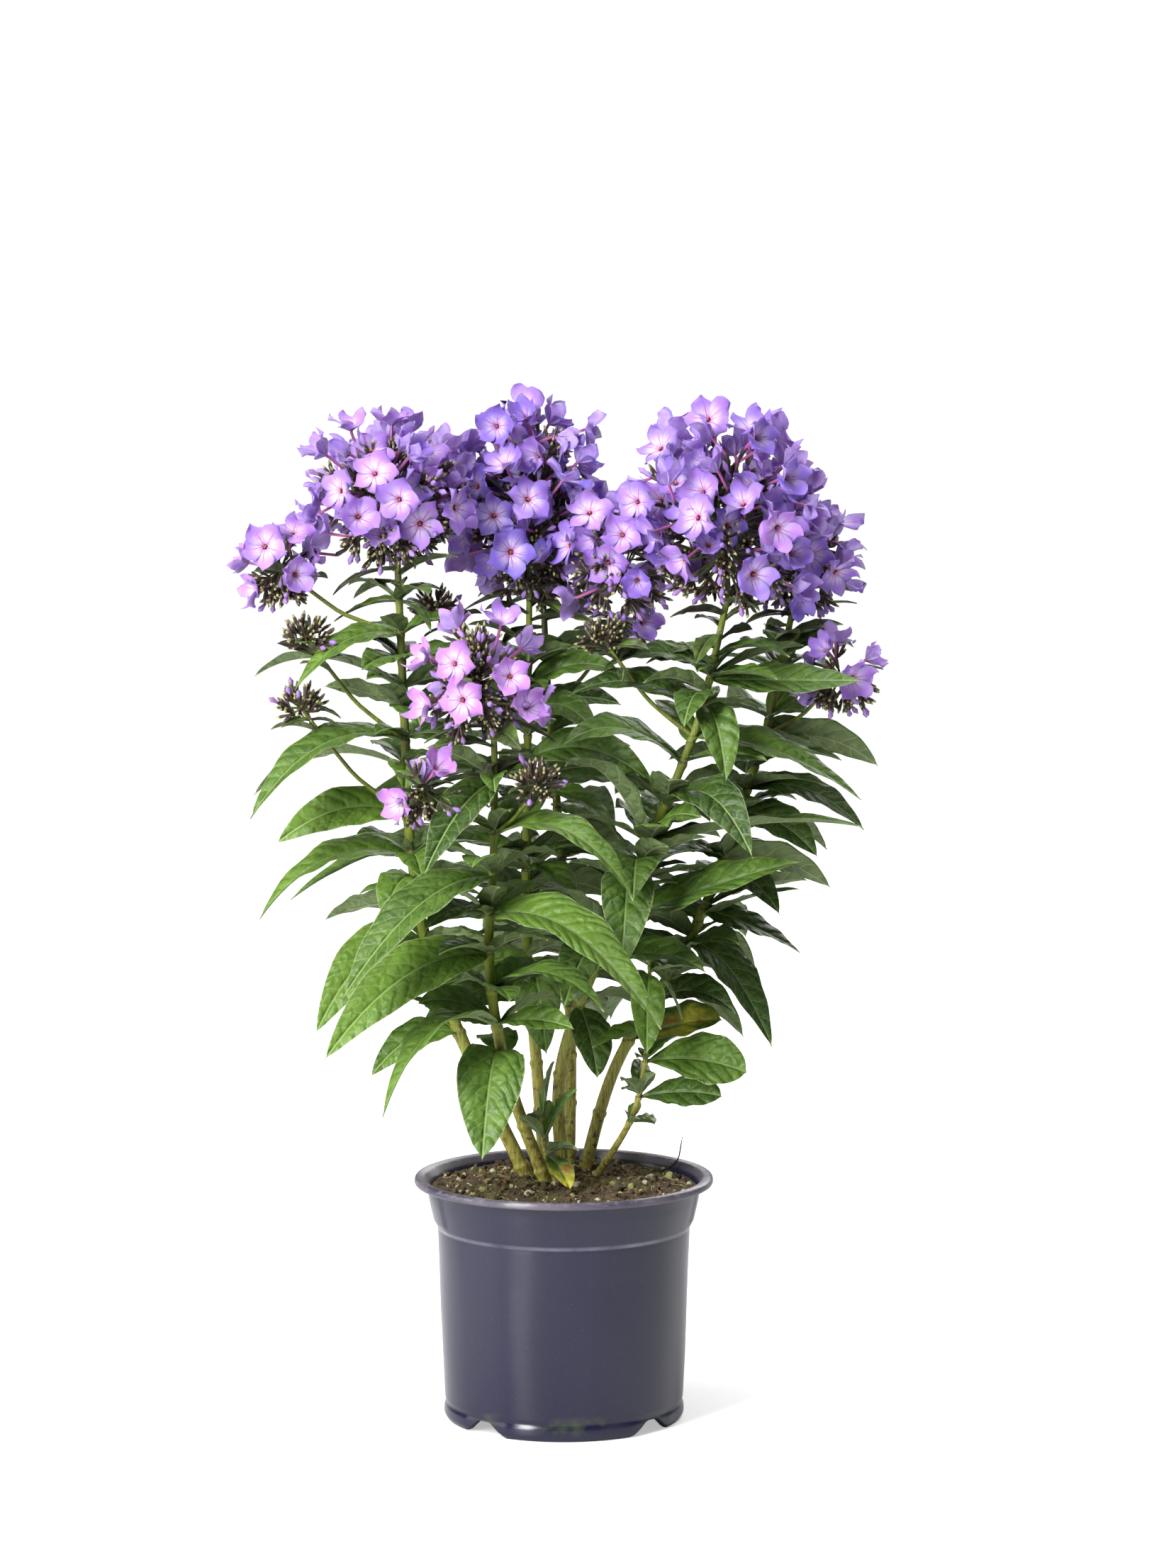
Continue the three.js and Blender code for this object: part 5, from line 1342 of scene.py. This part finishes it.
heads = {}
bare_spots = {}
for k, (name, domes) in enumerate(HEADS.items()):
    heads[name] = []
    bare_spots[name] = []
    for dome in domes:
        others = [other for other in domes if other is not dome]
        grown = grow_florets("head_" + name, dome, CORE_SHARE, others)
        opened = [flower for i, flower in enumerate(grown) if chance(dome[4] + 2.7 * i) > NOT_OPEN]
        bare_spots[name] += [flower for flower in grown if not any(flower is other for other in opened)]
        opened = filler_florets(dome, CORE_SHARE, opened, others)
        heads[name] += nodding(opened, dome[4])
    if name == "front":
        heads[name], bare_spots[name] = front_florets(domes[0])
    heads[name] = [(*flower, PINK[name]) for flower in heads[name]]
    corollas("florets_" + name, heads[name], "head_" + name, 50 * k + 7)
side_florets = {name: [(at, facing, SIDE_FLORETS * radius, roll, root, PINK.get(name, 0) + 0.15)
                       for dome, buds, grown in tufts[name] for at, facing, radius, roll, root in grown]
                for name in STEMS}
for k, (name, flowers) in enumerate(side_florets.items()):
    if flowers:
        corollas("side_florets_" + name, flowers, "stem_" + name, 50 * k + 400)

for k, name in enumerate(LEAVES):
    leafage("leaves_" + name, leaves[name] + side_leaves(name, 100 * k + 50), "stem_" + name, LEAF_ROWS)

# ---- tubes, calyces and buds ----
# Behind each floret a magenta tube runs back into a dark ribbed calyx on a thin stalk. Buds of all
# ages stand in clusters among and below the florets: green-tipped young ones and furled violet ones.
STALK_SIDES = 5
TUBE_LENGTH = 17.5
CALYX_LENGTH = 8
# Clusters of buds for each floret of a dome, how far out they start, and clusters under a dome.
CLUSTERS = 0.7
BUD_STARTS = 0.5
UNDER_CLUSTERS = 15
BUD_SPREAD = 1.5
STAMENS = 3


def floret_stalks(flowers):
    """Stalk, calyx and tube of each floret in one skin, from its root to its throat, with the stage
    along it: 0 at the root, 0.3 to 0.6 on the calyx, and 1 at the mouth."""
    at, facing, root = (np.array([f[k] for f in flowers]) for k in (0, 1, 4))
    length = np.linalg.norm(root - at, axis=1)[:, None]
    short = np.minimum(1, length / (TUBE_LENGTH + CALYX_LENGTH + 6))
    calyx = TUBE_LENGTH + np.array([[CALYX_LENGTH + 1.5, CALYX_LENGTH, 1.5, 0]])
    back = np.concatenate([length, (length + calyx[:, :1] * short) / 2, calyx * short,
                           np.full_like(length, 2.5), np.full_like(length, 0)], axis=1)
    t = (1 - back / length)[..., None]
    bend = (at - facing * np.minimum(20, 0.6 * length))[:, None]
    path = arc(root[:, None], bend, at[:, None], t) - facing[:, None] * 0.5
    radii = np.broadcast_to([0.6, 0.6, 0.65, 1.25, 1.6, 0.95, 1.0, 1.2], path.shape[:2])
    stage = np.broadcast_to([0, 0.1, 0.2, 0.35, 0.58, 0.7, 0.9, 1], path.shape[:2])
    return tube(path, radii[..., None], STALK_SIDES), stage


def stamens(flowers):
    """Three small anthers in the throat of each floret."""
    at, facing = (np.array([f[k] for f in flowers]) for k in (0, 1))
    level, up = floret_frames(facing)
    angle = 2 * math.pi * (np.arange(STAMENS) / STAMENS + chance(np.arange(len(flowers)))[:, None])
    foot = at[:, None] + 0.65 * turned(level[:, None], up[:, None], angle[..., None])
    t = np.array([-0.6, 0.1, 0.6])[:, None]
    path = (foot[:, :, None] + facing[:, None, None] * t).reshape(-1, 3, 3)
    radii = np.broadcast_to([0.2, 0.42, 0.15], path.shape[:2])
    return tube(path, radii[..., None], 4)


def bud_cluster(hub, direction, count, seed, violet, size):
    """Paths and radii of buds that spread from a hub, their stage and their kind. The stage runs from 0
    at the hub over the calyx, 0.3 to 0.6, to 1 at the tip, and the kind is 0.5 for a furled bud."""
    n = seed * 17 + np.arange(count) * 3.7
    ahead = unit(direction + BUD_SPREAD * (chances(n, (0.1, 0.4, 0.7)) - 0.5))
    furled = chance(n + 0.9) < violet
    length = size * np.where(furled, 14 + 6 * chance(n + 0.2), 6 + 9 * chance(n + 0.2))
    t = np.where(furled[:, None], [0, 0.17, 0.5, 0.58, 0.84, 1], [0, 0.3, 0.7, 0.8, 0.92, 1])
    path = hub + ahead[:, None] * (t * length[:, None])[..., None] + (0, 0, 1.2) * (t ** 2)[..., None]
    radii = np.where(furled[:, None], [0.45, 1.1, 1.4, 0.9, 2.0, 0.3], [0.3, 0.75, 1.15, 1.05, 0.7, 0.12])
    stage = np.broadcast_to([0, 0.3, 0.58, 0.68, 0.88, 1], t.shape)
    return path, radii, stage, furled * 0.5


def bud_hubs(dome, spike_ends, seed):
    """Where clusters of buds grow: (hub, direction, count) in the gaps among a dome's florets, and on
    each of the spikes below them."""
    centre, radii = dome_shape(dome)
    florets = dome[2]
    hubs = []
    for direction in dome_directions(int(florets * CLUSTERS), 1, LOWEST_FLORET, seed + 2):
        hubs.append((centre + direction * radii * BUD_STARTS, direction, 9))
    if florets:
        for direction in dome_directions(UNDER_CLUSTERS, -0.25, LOWEST_BUD, seed + 4):
            out = 0.62 + 0.2 * chance(seed + direction[0])
            hubs.append((centre + direction * radii * out, direction - (0, 0, 0.2), 9))
    for start, end in spike_ends:
        ahead = unit(end - start) + (0, 0, 0.0 if florets else 0.45)
        if florets or ahead[2] > -0.25:
            hubs.append((start + (end - start) * (0.35 if florets else 0.1), ahead, 7 if florets else 5))
    return hubs


# The kind is 0 on branches and young buds, 0.5 on furled buds and 1 on tubes. Anthers have stage 2.
bud_skin, tree, principled, place_on = shader("bud", {"Roughness": 0.5})
state = parts_of(tree, attribute(tree, "state"))
stage, kind, tone = state["X"], state["Y"], state["Z"]
shaft = blend(tree, tone, (0.1, 0.13, 0.035), (0.075, 0.04, 0.03))
calyx = blend(tree, mottle(tree, place_on, 500, 0.35, 0.65), (0.026, 0.01, 0.018), (0.07, 0.05, 0.026))
furled, is_tube = band(tree, kind, 0.1, 0.4), band(tree, kind, 0.6, 0.9)
tip = blend(tree, band(tree, tone, 0.1, 0.5), (0.1, 0.075, 0.04), (0.42, 0.42, 0.16))
tip = coats(tree, tip, [
    (furled, 1, (0.34, 0.2, 0.55)),
    (is_tube, 1, (0.4, 0.1, 0.28)),
    (band(tree, tone, 0.75, 0.95), 0.5, (0.3, 0.12, 0.3)),
])
on_calyx, on_tip, on_anther = (band(tree, stage, *span) for span in ((0.18, 0.3), (0.66, 0.78), (1.5, 2.0)))
eye = times(tree, band(tree, stage, 0.95, 1.0), is_tube)
colour = coats(tree, shaft, [
    (on_calyx, 1, calyx),
    (on_tip, 1, tip),
    (eye, 1, (0.16, 0.008, 0.03)),
    (on_anther, 1, (0.75, 0.48, 0.1)),
])
feed(tree, principled, {"Base Color": colour})


def bud_piece(name, groups, node_name):
    """One piece out of groups of equal skins; each group is (skins, stage, kind, tone). The stage is
    given for each ring of a skin, and kind and tone for each skin, or one number for all."""
    states = []
    for skin, stage, kind, tone in groups:
        stage = np.broadcast_to(stage, skin.shape[:2])[..., None]
        kind, tone = (np.broadcast_to(value, len(skin))[:, None, None] for value in (kind, tone))
        states.append(in_threes(skin.shape[:-1], stage, kind, tone).reshape(-1, 3))
    points, faces = joined([group[0] for group in groups])
    piece = new_piece(name, points, faces, {"state": np.concatenate(states)})
    hand_over(piece, bud_skin, node_name)


def inflorescence(name, node_name, flowers, hubs, branches, seed):
    """Everything of some heads but their petals: tubes and calyces, anthers, buds and branches. A branch
    is (start, end, sag, thickness). On side sprays fewer buds are furled, and all are smaller."""
    groups = []
    if flowers:
        skin, stage = floret_stalks(flowers)
        groups.append((skin, stage, 1.0, chance(np.arange(len(flowers)) + seed)))
        groups.append((stamens(flowers), 2.0, 1.0, 0.0))
    violet, size = (0.12, 1.0) if node_name in ["head_" + head for head in HEADS] else (0.06, 0.88)
    buds = [bud_cluster(hub, ahead, count, seed + i * 1.3, violet, size)
            for i, (hub, ahead, count) in enumerate(hubs)]
    path, radii, stage, kind = (np.concatenate([bud[k] for bud in buds]) for k in range(4))
    tone = chance(np.arange(len(path)) * 1.1 + seed)
    groups.append((tube(path, radii[..., None], STALK_SIDES), stage, kind, tone))
    t = np.array([0, 0.35, 0.7, 1])[:, None]
    path = np.array([start + (end - start) * t + sag * t * (1 - t) for start, end, sag, thick in branches])
    radii = np.array([thick * np.array([1.25, 1, 0.85, 0.7]) for start, end, sag, thick in branches])
    tone = chance(np.arange(len(path)) + seed) * 0.6
    groups.append((tube(path, radii[..., None], STALK_SIDES), 0.0, 0.0, tone))
    bud_piece(name, groups, node_name)


for k, (name, domes) in enumerate(HEADS.items()):
    seat = stem_points(name, STEMS[name][1])[0]
    main = np.array(domes[0][0], float)
    hubs, branches = [], [(seat - (0, 0, 4), main, np.zeros(3), 1.7)]
    for dome in domes:
        centre, radii = dome_shape(dome)
        near = [s for s in spikes[name] if np.linalg.norm((s[0] - centre) / radii) < 0.5]
        found = bud_hubs(dome, near, 3 * k)
        hubs += found
        foot = main if dome is domes[0] else centre
        low = foot - (0, 0, 0.25 * radii[2])
        branches += [(low, hub, np.array([0, 0, -6.0]), 0.8) for hub, ahead, count in found]
        branches.append((main, centre + (0, 0, 0.45 * radii[2]), np.zeros(3), 1.4))
    for at, facing, radius, roll, root in bare_spots[name]:
        ahead = unit(at - root)
        hubs += [(at - ahead * 15, ahead, 10), (at - ahead * 22, facing, 8)]
        branches.append((root, at - ahead * 15, np.zeros(3), 0.8))
    inflorescence("buds_" + name, "head_" + name, heads[name], hubs, branches, 90 * k + 5)
for k, name in enumerate(STEMS):
    hubs, branches = [], []
    for dome, own_spikes, grown in tufts[name]:
        found = bud_hubs(dome, own_spikes, 5 * k)
        hubs += found
        branches += [(dome_shape(dome)[0], hub, np.zeros(3), 0.7) for hub, ahead, count in found]
    if hubs:
        inflorescence("side_buds_" + name, "stem_" + name, side_florets[name], hubs, branches, 90 * k + 700)

# ---- bracts ----
# Small narrow leaves flushed with dark purple, at the top of each flowering stem and at the end of
# each side stalk, and one larger green one on the left stem.
HEAD_BRACTS = 10
TUFT_BRACTS = 7
BRACT_ROWS = 13


def bract(base, azimuth, reach, lift, seed):
    """A leaf small enough to be told by its base, direction, reach and lift alone."""
    return {"base": base, "azimuth": azimuth, "reach": reach, "lift": lift, "arch": 0.2, "half": reach * 0.18,
            "outline": 0, "roll": 50 * (float(chance(seed)) - 0.5), "seed": seed,
            "tint": 0.5 + 0.5 * float(chance(seed + 1)), "tone_and_light": 1}


for k, name in enumerate(STEMS):
    bracts = []
    if name in HEADS:
        for i in range(HEAD_BRACTS):
            draw = chance(60 * k + 7 * i + np.arange(3))
            base = stem_points(name, STEMS[name][1] + 4 - 4 * i)[0]
            azimuth, reach, lift = 137 * i + 40 * draw[0], 28 + 18 * draw[1], 14 - 30 * draw[2]
            bracts.append(bract(base, azimuth, reach, lift, 60 * k + i))
    if name == "left":
        bracts.append(dict(bract(base, 300, 40, -16, 5), tint=0, half=9))
    for j, spray in enumerate(SPRAYS):
        if spray[0] == name:
            line = spray_line(spray)
            for i in range(TUFT_BRACTS):
                draw = chance(90 * j + 7 * i + np.arange(3))
                azimuth, reach, lift = 97 * i + 60 * draw[0], 17 + 14 * draw[1], -8 + 18 * draw[2]
                bracts.append(bract(line[-1 - i // 2], azimuth, reach, lift, 90 * j + i))
    if bracts:
        leafage("bracts_" + name, bracts, "stem_" + name, BRACT_ROWS)
